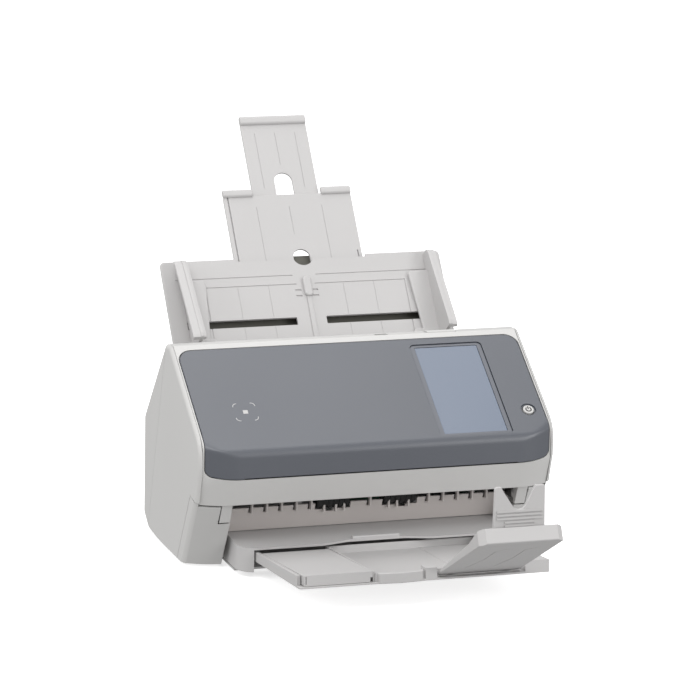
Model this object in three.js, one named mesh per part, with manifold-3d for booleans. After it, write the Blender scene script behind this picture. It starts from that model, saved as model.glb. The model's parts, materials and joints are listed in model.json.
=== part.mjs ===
// Sheet fed document scanner: an assembly of separate sub-parts, in millimetres, +Z up.
// X runs to the right across the paper width, -Y is the front where the paper comes out.
// The origin is the middle of the underside of the object's bounding box.
import * as THREE from 'three';
import { mergeVertices } from 'three/addons/utils/BufferGeometryUtils.js';
import Module from 'manifold-3d';

const wasm = await Module();
wasm.setup();

// Driving dimensions.
const ORIGIN_SHIFT_Y = 26.96;     // from the body's own mid line to the middle of the bounding box
const HALF_WIDTH = 150;           // body across the paper width
const SIDE_THICKNESS = 3;         // side covers
const WALL = 2.5;                 // moulded walls
const GAP = 0.3;                  // between pieces that touch
const CLEAR = 0.6;                // between pieces that move past each other
const INNER_HALF = HALF_WIDTH - SIDE_THICKNESS - GAP;
const WELL_HALF = 119.5;          // exit well between the two front pillars
const FOOT_HEIGHT = 2;
const FLOOR_TOP = 3.8;            // top of the bottom chassis
const COVER_PIVOT = [-63, 54];    // y, z of the feeder cover's hinge
const ARM_RADIUS = 6;
const ARM_WIDTH = 10;
const PIN_RADIUS = 2;
const BORE_RADIUS = 2.4;
const PATH_START = [-52, 58];     // y, z where the paper path leaves the rollers
const PATH_SLOPE = 0.49;          // rise of the paper path towards the rear
const PANEL_TOP = [9.4, 169];     // y, z of the operator panel's upper edge
const PANEL_PITCH = THREE.MathUtils.degToRad(33.5);
const CHUTE_TOP = [141.7, 213.4]; // y, z of the chute's upper edge
const CHUTE_LEAN = THREE.MathUtils.degToRad(37.6);
const CHUTE_HALF = 123.5;
const CHUTE_LENGTH = 126;
const STACKER_ORIGIN = [-82, 13.6];
const STACKER_PITCH = THREE.MathUtils.degToRad(5.02);
const STACKER_HALF = 102.6;
const STACKER_FRONT = 116.4;      // stacker's reach in front of its origin
const FLAP_HINGE = [-192, 27.2];
const FLAP_RAISE = THREE.MathUtils.degToRad(27.7);
const FLAP_LENGTH = 108;
const FLAP_X = [11.5, 79.5];

const root = new THREE.Group();
root.position.y = ORIGIN_SHIFT_Y;

const PLASTICS = {
  shell_white: [0xd9d8d4, 0.5, 0],
  light_grey: [0xc9c8c5, 0.55, 0],
  panel_grey: [0x5d626c, 0.45, 0],
  bezel_grey: [0x4b4f58, 0.35, 0],
  dark_plastic: [0x1d1d1f, 0.6, 0],
  rubber_black: [0x161616, 0.9, 0],
  screen_glass: [0x8f98aa, 0.08, 0],
  scan_glass: [0x9fb0b0, 0.05, 0],
  board_green: [0x1f5a3c, 0.6, 0],
  steel: [0xb8babd, 0.3, 1],
};

function material(slot) {
  const [color, roughness, metalness] = PLASTICS[slot];
  return new THREE.MeshStandardMaterial({ color, roughness, metalness, name: slot });
}

// Solids and cuts.

function solid(geometry) {
  const bare = geometry.clone();
  bare.deleteAttribute('normal');
  bare.deleteAttribute('uv');
  const merged = mergeVertices(bare, 1e-4);
  return new wasm.Manifold(new wasm.Mesh({
    numProp: 3,
    vertProperties: new Float32Array(merged.attributes.position.array),
    triVerts: new Uint32Array(merged.index.array),
  }));
}

function geometryOf(manifold) {
  const mesh = manifold.getMesh();
  const geometry = new THREE.BufferGeometry();
  geometry.setAttribute('position', new THREE.BufferAttribute(mesh.vertProperties, 3));
  geometry.setIndex(new THREE.BufferAttribute(mesh.triVerts, 1));
  geometry.computeVertexNormals();
  return geometry;
}

function add(group, name, slot, shape) {
  const mesh = new THREE.Mesh(geometryOf(shape), material(slot));
  mesh.name = name;
  group.add(mesh);
  return mesh;
}

function box(x0, x1, y0, y1, z0, z1) {
  const geometry = new THREE.BoxGeometry(x1 - x0, y1 - y0, z1 - z0);
  geometry.translate((x0 + x1) / 2, (y0 + y1) / 2, (z0 + z1) / 2);
  return solid(geometry);
}

// An outline in Y and Z, swept from x0 to x1.
function sweepX(points, x0, x1) {
  const shape = new THREE.Shape(points.map(([y, z]) => new THREE.Vector2(y, z)));
  const geometry = new THREE.ExtrudeGeometry(shape, { depth: x1 - x0, bevelEnabled: false });
  geometry.applyMatrix4(new THREE.Matrix4().makeBasis(
    new THREE.Vector3(0, 1, 0), new THREE.Vector3(0, 0, 1), new THREE.Vector3(1, 0, 0)));
  geometry.translate(x0, 0, 0);
  return solid(geometry);
}

// An outline in X and Y, raised from z0 to z1.
function sweepZ(points, z0, z1) {
  const shape = new THREE.Shape(points.map(([x, y]) => new THREE.Vector2(x, y)));
  const geometry = new THREE.ExtrudeGeometry(shape, { depth: z1 - z0, bevelEnabled: false });
  geometry.translate(0, 0, z0);
  return solid(geometry);
}

// An outline in X and Z, swept from y0 to y1.
function sweepY(points, y0, y1) {
  const shape = new THREE.Shape(points.map(([x, z]) => new THREE.Vector2(x, z)));
  const geometry = new THREE.ExtrudeGeometry(shape, { depth: y1 - y0, bevelEnabled: false });
  geometry.rotateX(Math.PI / 2);
  geometry.translate(0, y1, 0);
  return solid(geometry);
}

function rodX(radius, x0, x1, y, z, sides = 24) {
  const geometry = new THREE.CylinderGeometry(radius, radius, x1 - x0, sides);
  geometry.rotateZ(Math.PI / 2);
  geometry.translate((x0 + x1) / 2, y, z);
  return solid(geometry);
}

function rodZ(radius, x, y, z0, z1, sides = 24) {
  const geometry = new THREE.CylinderGeometry(radius, radius, z1 - z0, sides);
  geometry.rotateX(Math.PI / 2);
  geometry.translate(x, y, (z0 + z1) / 2);
  return solid(geometry);
}

function rodY(radius, x, z, y0, y1, sides = 24) {
  const geometry = new THREE.CylinderGeometry(radius, radius, y1 - y0, sides);
  geometry.translate(x, (y0 + y1) / 2, z);
  return solid(geometry);
}

function join(...shapes) {
  return shapes.reduce((whole, shape) => whole.add(shape));
}

function cut(shape, ...tools) {
  return tools.reduce((left, tool) => left.subtract(tool), shape);
}

// Moves every edge of a convex, counter-clockwise outline inwards.
function inset(points, distance) {
  const count = points.length;
  const lines = points.map((point, i) => {
    const next = points[(i + 1) % count];
    const length = Math.hypot(next[0] - point[0], next[1] - point[1]);
    const normal = [-(next[1] - point[1]) / length, (next[0] - point[0]) / length];
    return [normal, normal[0] * point[0] + normal[1] * point[1] + distance];
  });
  return lines.map(([normal, offset], i) => {
    const [before, beforeOffset] = lines[(i + count - 1) % count];
    const cross = before[0] * normal[1] - before[1] * normal[0];
    return [
      (beforeOffset * normal[1] - offset * before[1]) / cross,
      (before[0] * offset - normal[0] * beforeOffset) / cross,
    ];
  });
}

function arc(cx, cy, radius, from, to, steps) {
  return Array.from({ length: steps + 1 }, (_, i) => {
    const angle = THREE.MathUtils.degToRad(from + (to - from) * i / steps);
    return [cx + radius * Math.cos(angle), cy + radius * Math.sin(angle)];
  });
}

function pathZ(y) {
  return PATH_START[1] + PATH_SLOPE * (y - PATH_START[0]);
}

// A plate that follows the paper path from y0 to y1, its lower face 'above' the paper line.
function pathPlate(x0, x1, y0, y1, above, thickness = WALL) {
  return sweepX([
    [y0, pathZ(y0) + above], [y1, pathZ(y1) + above],
    [y1, pathZ(y1) + above + thickness], [y0, pathZ(y0) + above + thickness],
  ], x0, x1);
}

// Feeder cover: the convex side outline, counter-clockwise from the lower front.
const BEND = { y: -78, z: 100.4, radius: 9 };
const BEND_BOTTOM = 83.6;         // where the grey panel ends above the white lip
const LIP_BOTTOM = [-78.5, 60.3];
const COVER_OUTLINE = [
  LIP_BOTTOM, [-52, LIP_BOTTOM[1]], [58, 114.4], [26, 170.5], [13, 171.5], PANEL_TOP,
  ...arc(BEND.y, BEND.z, BEND.radius, 123.5, 180, 4), [BEND.y - BEND.radius, BEND_BOTTOM],
];

// Seen from above, the cover's front is straight in the middle and falls back towards both sides.
const PLAN_FRONT = -87.5;
const PLAN_STRAIGHT = 117.4;
const PLAN_SETBACK = 9.3;

function setback(x) {
  const t = (x - PLAN_STRAIGHT) / (INNER_HALF - PLAN_STRAIGHT);
  return PLAN_SETBACK * t * t;
}

function planOutline(margin) {
  const half = INNER_HALF - margin;
  const corner = [];
  for (let i = 0; i <= 5; i += 1) {
    const x = PLAN_STRAIGHT + (INNER_HALF - PLAN_STRAIGHT) * i / 5;
    corner.push([Math.min(x, half), PLAN_FRONT + margin + setback(x)]);
  }
  const left = corner.map(([x, y]) => [-x, y]).reverse();
  return [...left, ...corner, [half, 80], [-half, 80]];
}

// The room behind a face that leans by 'lean' from (front, top) and falls back towards the right side.
function behindLean({ front, top, lean }, margin) {
  const corner = [];
  for (let i = 0; i <= 6; i += 1) {
    const x = PLAN_STRAIGHT + (HALF_WIDTH + 1 - PLAN_STRAIGHT) * i / 6;
    corner.push([x, front + margin * Math.hypot(1, lean) + setback(x)]);
  }
  const plan = sweepZ([[-1, corner[0][1]], ...corner, [HALF_WIDTH + 1, 120], [-1, 120]], 0, 190);
  return plan.transform([
    1, 0, 0, 0,
    0, 1, 0, 0,
    0, -lean, 1, 0,
    0, lean * top, 0, 1,
  ]);
}

const LIP = { front: LIP_BOTTOM[0], top: LIP_BOTTOM[1], lean: 0.365 };

function coverSolid(margin) {
  const side = sweepX(inset(COVER_OUTLINE, margin), -INNER_HALF + margin, INNER_HALF - margin);
  const right = behindLean(LIP, margin);
  return side.intersect(sweepZ(planOutline(margin), 40, 190)).intersect(join(right, right.mirror([1, 0, 0])));
}

function panelRegion(grow) {
  const depth = 9;
  const top = [PANEL_TOP[0] + grow * 1.2, PANEL_TOP[1]];
  return sweepX([
    [-95, BEND_BOTTOM - grow], [BEND.y, BEND_BOTTOM - grow], [BEND.y, BEND.z],
    [top[0] + 0.55 * depth, top[1] - 0.83 * depth], [top[0] - 0.5, top[1] + 4], [-30, 190], [-95, 190],
  ], -HALF_WIDTH, HALF_WIDTH);
}

// Panel features are placed by their distance across (x) and down the slope (s).
const DISPLAY = { x0: 50.6, x1: 113, s0: 8, s1: 109.6 };
const SCREEN = { x0: 55, x1: 108.8, s0: 11, s1: 107 };
const BUTTON = { x: 132.4, s: 86.6, radius: 4.6 };
const READER = { x: -103.9, s: 71.8 };

function onPanel() {
  const group = new THREE.Group();
  group.position.set(0, PANEL_TOP[0], PANEL_TOP[1]);
  group.rotation.x = PANEL_PITCH;
  root.add(group);
  return group;
}

function toPanel(shape) {
  return shape.rotate([THREE.MathUtils.radToDeg(PANEL_PITCH), 0, 0])
    .translate([0, PANEL_TOP[0], PANEL_TOP[1]]);
}

// Base

function bottomChassis() {
  const floor = box(-INNER_HALF + 1, INNER_HALF - 1, -22, 74, FOOT_HEIGHT, FLOOR_TOP);
  const frontFloor = box(-WELL_HALF + 4.5, WELL_HALF - 4.5, -62, -21, FOOT_HEIGHT, FLOOR_TOP);
  const ribs = [-60, -20].map((x) => box(x - 1, x + 1, 62, 74, FLOOR_TOP - 0.1, 30));
  add(root, 'bottom_chassis', 'light_grey', join(floor, frontFloor, ...ribs));
}

function rubberFeet() {
  for (const [depth, y] of [['front', -13], ['rear', 62]]) {
    for (const [side, x] of [['left', -128], ['right', 128]]) {
      add(root, `rubber_foot_${depth}_${side}`, 'rubber_black', rodZ(7, x, y, 0, FOOT_HEIGHT - GAP, 20));
    }
  }
}

function sideCover(side) {
  const outline = [
    [-16.6, FOOT_HEIGHT + 0.5], [74, FOOT_HEIGHT + 0.5], [89, 13], [89, 97], [26, 170.5], [13, 171.5],
    [10.2, 169.9], [-69.6, 117.2], [-75, 111.6], [-78, 105], [-78.8, 98], [-78.8, 86],
    [-71.4, 61.9], [-54, 64.4],
  ];
  const x0 = side < 0 ? -HALF_WIDTH : HALF_WIDTH - SIDE_THICKNESS;
  const name = side < 0 ? 'side_cover_left' : 'side_cover_right';
  add(root, name, 'shell_white', sweepX(outline, x0, x0 + SIDE_THICKNESS));
}

function rearCover() {
  const outer = [[80.6, 106], [88.7, 96.8], [88.7, 13.3], [75.3, 4.2]];
  const inner = [[77, 6.6], [88.7 - WALL, 14.6], [88.7 - WALL, 96], [78.6, 104.4]];
  let cover = sweepX([...outer, ...inner].reverse(), -INNER_HALF, INNER_HALF);
  const ledge = [[62.4, 112.4], [78.8, 103.6], [80.6, 106], [63.2, 114.8]];
  const shoulder = sweepX(ledge, CHUTE_HALF + GAP, INNER_HALF);
  cover = join(cover, shoulder, shoulder.mirror([1, 0, 0]));
  for (const port of Object.values(PORTS)) cover = cut(cover, portBlock(port, 80, 95, GAP));
  add(root, 'rear_cover', 'shell_white', cover);
}

// Rear connectors: middle x, middle z, width, height.
const PORTS = {
  power_inlet: [118, 34, 14, 12],
  usb_socket: [88, 34, 14, 13],
  network_socket: [60, 35, 18, 15],
};

function portBlock([x, z, width, height], y0, y1, grow) {
  const across = width / 2 + grow;
  const up = height / 2 + grow;
  return box(x - across, x + across, y0, y1, z - up, z + up);
}

function connectors() {
  for (const [name, port] of Object.entries(PORTS)) {
    const power = name === 'power_inlet';
    const mouth = power ? rodY(4, port[0], port[1], 76, 90) : portBlock(port, 76, 90, -1.6);
    add(root, name, power ? 'dark_plastic' : 'steel', cut(portBlock(port, 70, 88.2, 0), mouth));
  }
}

// The front pillars lean back, and fall back sideways like the cover above them.
const PILLAR = { front: -77.5, top: 59.7, lean: 0.59, x0: WELL_HALF + 0.8, inside: 57 };

function frontPillar(side) {
  const { top, x0, inside } = PILLAR;
  const bottom = FOOT_HEIGHT + 0.5;
  const sideX = HALF_WIDTH - SIDE_THICKNESS;
  const body = sweepX([[-90, bottom], [-24, bottom], [-50, top], [-90, top]], x0, sideX);
  const edge = [[-90, bottom], [-17.2, bottom], [-54.4, 63.9], [-72, 61.4], [-90, 61.4]];
  const wrap = sweepX(edge, sideX - 0.1, HALF_WIDTH);
  const hollow = box(x0 + WALL, sideX, -90, -17, 0, inside).intersect(behindLean(PILLAR, 3));
  const corner = COVER_PIVOT[0] + ARM_RADIUS + 0.5;
  const notch = join(
    rodX(ARM_RADIUS + 0.5, x0 - 1, x0 + ARM_WIDTH, COVER_PIVOT[0], COVER_PIVOT[1], 32),
    box(x0 - 1, x0 + ARM_WIDTH, -95, corner, COVER_PIVOT[1], 70),
    box(x0 - 1, x0 + ARM_WIDTH, -95, COVER_PIVOT[0], COVER_PIVOT[1] - ARM_RADIUS - 3.5, 70),
  );
  const backing = box(x0 + ARM_WIDTH, x0 + ARM_WIDTH + WALL, -66, -54, 46, inside + 0.5);
  const pocket = rodX(BORE_RADIUS, x0, x0 + ARM_WIDTH + 5, COVER_PIVOT[0], COVER_PIVOT[1], 20);
  const skin = cut(join(body, wrap).intersect(behindLean(PILLAR, 0)), hollow, notch);
  const pillar = cut(join(skin, backing), pocket);
  const shape = side < 0 ? pillar.mirror([1, 0, 0]) : pillar;
  add(root, side < 0 ? 'front_pillar_left' : 'front_pillar_right', 'shell_white', shape);
}

function hingePin(side) {
  const x0 = WELL_HALF + 0.6;
  const pin = rodX(PIN_RADIUS, x0, x0 + ARM_WIDTH + 4, COVER_PIVOT[0], COVER_PIVOT[1], 20);
  const shape = side < 0 ? pin.mirror([1, 0, 0]) : pin;
  add(root, side < 0 ? 'cover_hinge_pin_left' : 'cover_hinge_pin_right', 'steel', shape);
}

// Rollers: middle y and z of each shaft, the roller radius and the stretches of x it covers.
const EXIT = { y: -42, z: 53, radius: 9, spans: [[-42, -15], [15, 42]] };
const PICK = { y: 44, z: 94.6, radius: 9, spans: [[-32, -10], [10, 32]] };
const IDLER = { y: -46.5, z: 70, radius: 6.6, spans: [[-41, -16], [16, 41]] };
const BRAKE = { y: 36.2, z: 110.4, radius: 7.4, spans: [[-28, 28]] };
const MOTOR = { y: 15, z: 48, radius: 16 };
const PULLEY_RADIUS = 3.4;
const BELT_X = [111, 116];

function windows(spans, y0, y1, margin = 1.5) {
  return spans.map(([x0, x1]) => box(x0 - margin, x1 + margin, y0, y1, 40, 150));
}

const GLASS = { half: 108.5, y0: -24, y1: -6 };

function lowerGuide() {
  const nose = pathPlate(-WELL_HALF, WELL_HALF, -50.5, -45, -3.6, 3);
  const plate = pathPlate(-INNER_HALF, INNER_HALF, -45.5, 62, -3.6, 3);
  const openings = [
    ...windows(EXIT.spans, -55, -33), ...windows(PICK.spans, 33, 54),
    box(-GLASS.half - GAP, GLASS.half + GAP, GLASS.y0 - GAP, GLASS.y1 + GAP, 40, 110),
  ];
  add(root, 'lower_paper_guide', 'dark_plastic', cut(join(nose, plate), ...openings));
}

function exitWall() {
  const half = WELL_HALF - 0.4;
  const wall = sweepX([[-50, 51.4], [-41, 28.8], [-38.3, 28.8], [-47.2, 51.4]], -half, half);
  const openings = EXIT.spans.map(([x0, x1]) => box(x0 - 1.5, x1 + 1.5, -60, -34, 44, 60));
  add(root, 'exit_wall', 'light_grey', cut(wall, ...openings));
}

function scanGlass() {
  const { half, y0, y1 } = GLASS;
  for (const [place, glass, sensor] of [['lower', -2.9, -15.5], ['upper', 3.2, 8.2]]) {
    add(root, `${place}_scan_glass`, 'scan_glass', pathPlate(-half, half, y0, y1, glass, 2.2));
    add(root, `${place}_image_sensor`, 'dark_plastic', pathPlate(-half, half, y0 + 1, y1 - 1, sensor, 11.5));
  }
}

function rollerShaft(name, { y, z, radius, spans }, x0, x1, slot = 'rubber_black') {
  const rollers = spans.map(([from, to]) => rodX(radius, from, to, y, z, 28));
  add(root, name, slot, join(rodX(2, x0, x1, y, z, 16), ...rollers));
}

function rollers() {
  rollerShaft('exit_roller', EXIT, -60, BELT_X[0] - GAP);
  rollerShaft('pick_roller', PICK, -60, BELT_X[0] - GAP);
  rollerShaft('exit_idler_roller', IDLER, -52, 52);
  rollerShaft('brake_roller', BRAKE, -38, 38);
  add(root, 'exit_pulley', 'dark_plastic', rodX(PULLEY_RADIUS, BELT_X[0], BELT_X[1], EXIT.y, EXIT.z, 20));
  add(root, 'pick_pulley', 'dark_plastic', rodX(PULLEY_RADIUS, BELT_X[0], BELT_X[1], PICK.y, PICK.z, 20));
}

function shaftBearings() {
  const shafts = { exit_bearing: EXIT, pick_bearing: PICK };
  for (const [name, { y, z }] of Object.entries(shafts)) {
    for (const [place, x] of [['left', -56], ['right', 92]]) {
      const block = box(x - 2, x + 2, y - 3.4, y + 3.4, z - 4.2, z + 4);
      add(root, `${name}_${place}`, 'light_grey', cut(block, rodX(2.3, x - 3, x + 3, y, z, 16)));
    }
  }
}

function motorDrive() {
  const { y, z, radius } = MOTOR;
  const can = rodX(radius, 62, 96, y, z, 28);
  const bracket = box(66, 92, y + 11, y + 18, FLOOR_TOP + GAP, z);
  add(root, 'drive_motor', 'steel', join(can, bracket));
  add(root, 'motor_pulley', 'dark_plastic', rodX(PULLEY_RADIUS, 96 + GAP, BELT_X[1], y, z, 20));
}

function beltLoop(radius) {
  const wheels = [[EXIT.y, EXIT.z], [MOTOR.y, MOTOR.z], [PICK.y, PICK.z]];
  const points = [];
  wheels.forEach(([y, z], i) => {
    const before = wheels[(i + 2) % 3];
    const next = wheels[(i + 1) % 3];
    const start = Math.atan2(z - before[1], y - before[0]) - Math.PI / 2;
    let end = Math.atan2(next[1] - z, next[0] - y) - Math.PI / 2;
    while (end < start) end += 2 * Math.PI;
    for (let k = 0; k <= 6; k += 1) {
      const angle = start + (end - start) * k / 6;
      points.push([y + radius * Math.cos(angle), z + radius * Math.sin(angle)]);
    }
  });
  return points;
}

function driveBelt() {
  const outer = sweepX(beltLoop(PULLEY_RADIUS + 1.5), BELT_X[0] + 0.4, BELT_X[1] - 0.4);
  const inner = sweepX(beltLoop(PULLEY_RADIUS + 0.35), BELT_X[0] - 1, BELT_X[1] + 1);
  add(root, 'drive_belt', 'rubber_black', cut(outer, inner));
}

function mainBoard() {
  add(root, 'main_board', 'board_green', box(10, 130, 44, 69.5, 22, 23.6));
}

// Exit tray, fixed to the base, with rounded front corners and a raised finger tab.
const TRAY_HALF = 116;
const TRAY_FRONT = -82;

function trayPlan(half, front, radius) {
  const right = arc(half - radius, front + radius, radius, -90, 0, 5);
  const left = arc(-half + radius, front + radius, radius, 180, 270, 5);
  return [...left, ...right, [half, -30.5], [-half, -30.5]];
}

function exitTray() {
  const outer = sweepZ(trayPlan(TRAY_HALF, TRAY_FRONT, 16), 5, 29);
  const under = join(
    sweepZ(trayPlan(TRAY_HALF - WALL, TRAY_FRONT + WALL, 14), 0, 21),
    box(-STACKER_HALF - 1.6, STACKER_HALF + 1.6, -100, -20, 0, 23.4),
    box(-TRAY_HALF + WALL, TRAY_HALF - WALL, -60, -20, 0, 22),
  );
  const floorLine = [[-120, 25], [-78, 25], [-40, 28.2], [-20, 28.2], [-20, 40], [-120, 40]];
  const floorCut = sweepX(floorLine, -TRAY_HALF - 10, TRAY_HALF + 10);
  const tab = box(-20, 20, -75, -71.5, 24, 28);
  const frontScoop = box(-46, 46, -90, -75.6, 0, 40);
  add(root, 'exit_tray', 'light_grey', join(cut(outer, under, floorCut, frontScoop), tab));
}

// Feeder cover

// Room for the pillars' front corners while the cover swings past them.
function swingClearance() {
  const steps = [WELL_HALF + 0.8 + ARM_WIDTH, 134, 138, 142, INNER_HALF + 0.1];
  const radii = steps.map((x) => 0.5 + Math.hypot(
    PILLAR.front + setback(x) - COVER_PIVOT[0], PILLAR.top - COVER_PIVOT[1]));
  return join(...radii.slice(1).map((radius, i) => {
    const geometry = new THREE.CylinderGeometry(radius, radii[i], steps[i + 1] - steps[i] + 0.02, 48);
    geometry.rotateZ(-Math.PI / 2);
    geometry.translate((steps[i] + steps[i + 1]) / 2, ...COVER_PIVOT);
    return solid(geometry);
  }));
}

function coverShell() {
  const outer = coverSolid(0);
  const grey = panelRegion(GAP);
  const recess = cut(grey, coverSolid(WALL + GAP));
  let shell = cut(outer, coverSolid(2 * WALL + GAP), recess);
  const middle = sweepX([
    [-74.5, 40], [-49, 40], [-49, 65.2], [61, 119], [61, 124], [-60, 74], [-79.6, 74], [-74.5, 60],
  ], -WELL_HALF, WELL_HALF);
  const ends = sweepX([
    [-66, 40], [70, 40], [70, 124], [-60, 67.6], [-66, 65],
  ], -HALF_WIDTH, HALF_WIDTH);
  const clearance = swingClearance();
  shell = cut(shell, middle, ends, clearance, clearance.mirror([1, 0, 0]));
  for (const side of [-1, 1]) {
    const x0 = WELL_HALF + 1.1;
    const arm = join(
      rodX(ARM_RADIUS, x0, x0 + ARM_WIDTH - 1.2, COVER_PIVOT[0], COVER_PIVOT[1], 32),
      sweepX([[-69, 54], [-57, 54], [-57, 68], [-66, 78], [-81, 74], [-76.4, 62]], x0, x0 + ARM_WIDTH - 1.2),
    );
    const bore = rodX(BORE_RADIUS, x0 - 1, x0 + ARM_WIDTH + 1, COVER_PIVOT[0], COVER_PIVOT[1], 20);
    const finished = cut(arm, bore);
    shell = join(shell, side < 0 ? finished.mirror([1, 0, 0]) : finished);
  }
  const { x0, x1, y0, y1 } = RELEASE;
  shell = cut(shell, box(x0 - CLEAR, x1 + CLEAR, y0 - CLEAR, y1 + CLEAR, 160, 180));
  const hollows = [
    box(DISPLAY.x0 - GAP, DISPLAY.x1 + GAP, -DISPLAY.s1 - GAP, -DISPLAY.s0 + GAP, -20, 10),
    rodZ(BUTTON.radius + 1.5, BUTTON.x, -BUTTON.s, -20, 10, 24),
  ].map(toPanel);
  add(root, 'feeder_cover_shell', 'shell_white', cut(shell, ...hollows));
}

function operatorPanel() {
  const skin = cut(coverSolid(0), coverSolid(WALL)).intersect(panelRegion(0));
  const openings = [
    box(DISPLAY.x0, DISPLAY.x1, -DISPLAY.s1, -DISPLAY.s0, -8, 10),
    rodZ(BUTTON.radius + 0.4, BUTTON.x, -BUTTON.s, -20, 10, 24),
  ].map(toPanel);
  add(root, 'operator_panel', 'panel_grey', cut(skin, ...openings));
}

function display(group) {
  const frame = box(DISPLAY.x0 + GAP, DISPLAY.x1 - GAP, -DISPLAY.s1 + GAP, -DISPLAY.s0 - GAP, -5, -0.6);
  const seat = box(SCREEN.x0 - GAP, SCREEN.x1 + GAP, -SCREEN.s1 - GAP, -SCREEN.s0 + GAP, -2.6, 4);
  add(group, 'display_bezel', 'bezel_grey', cut(frame, seat));
  add(group, 'touch_screen', 'screen_glass', box(SCREEN.x0, SCREEN.x1, -SCREEN.s1, -SCREEN.s0, -2.3, -1.1));
  const board = box(DISPLAY.x0 + 2, DISPLAY.x1 - 2, -DISPLAY.s1 + 4, -DISPLAY.s0 - 4, -7, -5.4);
  add(group, 'display_board', 'board_green', board);
}

function powerButton(group) {
  const cap = rodZ(BUTTON.radius, BUTTON.x, -BUTTON.s, -4.6, 0.5, 28);
  add(group, 'power_button', 'shell_white', cap);
}

function cardReader(group) {
  const { x, s } = READER;
  add(group, 'card_reader_board', 'board_green', box(x - 20, x + 20, -s - 16, -s + 16, -8, -6.2));
}

function upperGuide() {
  const plate = pathPlate(-WELL_HALF + 1, WELL_HALF - 1, -51, 56.5, 2.4, 2.8);
  const lip = sweepX([[-76.4, 70.6], [-50.8, pathZ(-51) + 2.4], [-50.8, pathZ(-51) + 5.2], [-76.4, 73.2]],
    -WELL_HALF + 1, WELL_HALF - 1);
  const openings = [
    ...windows(IDLER.spans, -56, -37), ...windows(BRAKE.spans, 27, 46),
    box(-GLASS.half - GAP, GLASS.half + GAP, GLASS.y0 - GAP, GLASS.y1 + GAP, 40, 140),
  ];
  add(root, 'upper_paper_guide', 'dark_plastic', cut(join(plate, lip), ...openings));
}

// Cover release: a sprung tab on the feeder cover's top rim.
const RELEASE = { x0: 68, x1: 95, y0: 14, y1: 24 };

function releaseTab() {
  const { x0, x1, y0, y1 } = RELEASE;
  add(root, 'cover_release_tab', 'shell_white', box(x0, x1, y0, y1, 165.4, 172.8));
}

// Chute with its paper guides and pull-out extensions, in its own leaning frame:
// z runs up the chute from its upper edge, y is the depth behind the paper surface.
const PLATE = 2.5;
const SLOT = { inner: 12.9, outer: 113, z0: -63.5, z1: -56.5 };
const SLOT_Z = (SLOT.z0 + SLOT.z1) / 2;
const PINION_RADIUS = 4.2;
const GUIDE_X = 108.5;
const GUIDE_LOW = -84;
const FLANGE_X = CHUTE_HALF - 5;
const EXTENSION_1 = { half: 56.9, z0: -48, z1: 67.4, y0: 5.4 };
const EXTENSION_2 = { half: 29.4, z0: 17, z1: 138.7, y0: 8 };
const EXTENSION_PLATE = 2;

function leaningGroup() {
  const group = new THREE.Group();
  group.position.set(0, CHUTE_TOP[0], CHUTE_TOP[1]);
  group.rotation.x = -CHUTE_LEAN;
  root.add(group);
  return group;
}

function fingerArch(half, z0, height, y0, y1) {
  return sweepY([[-half, z0], [half, z0], ...arc(0, z0 + height - half, half, 0, 180, 8)], y0, y1);
}

function chute(group) {
  const plate = box(-CHUTE_HALF, CHUTE_HALF, 0, PLATE, -CHUTE_LENGTH, 0);
  const flange = box(FLANGE_X, FLANGE_X + WALL, 0, 11.2, -CHUTE_LENGTH, -4);
  const rims = [flange, flange.mirror([1, 0, 0])];
  const slots = [-1, 1].map((side) => {
    const xs = [side * SLOT.inner, side * SLOT.outer].sort((a, b) => a - b);
    return box(xs[0], xs[1], -5, 8, SLOT.z0, SLOT.z1);
  });
  const rails = [-1, 1].map((side) => {
    const xs = [side * (EXTENSION_1.half + CLEAR), side * (EXTENSION_1.half + 3)].sort((a, b) => a - b);
    return join(box(xs[0], xs[1], 1, 10.2, -46, -2), box(xs[0], xs[1], 1, 10.2, -CHUTE_LENGTH, -70));
  });
  add(group, 'paper_chute', 'light_grey', cut(join(plate, ...rims, ...rails), ...slots));
  const back = box(-FLANGE_X + GAP, FLANGE_X - GAP, 10.5, 12, -CHUTE_LENGTH, -3);
  add(group, 'chute_back_cover', 'light_grey', back);
}

function extension(group, name, { half, z0, z1, y0 }, archZ) {
  const plate = box(-half, half, y0, y0 + EXTENSION_PLATE, z0, z1);
  const grip = box(-half, half, y0 - 1.6, y0 + 0.2, z1 - 2.6, z1);
  let shape = join(plate, grip);
  if (archZ !== null) shape = cut(shape, fingerArch(6.5, archZ, 17, y0 - 2, y0 + 3));
  add(group, name, 'light_grey', shape);
}

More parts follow.
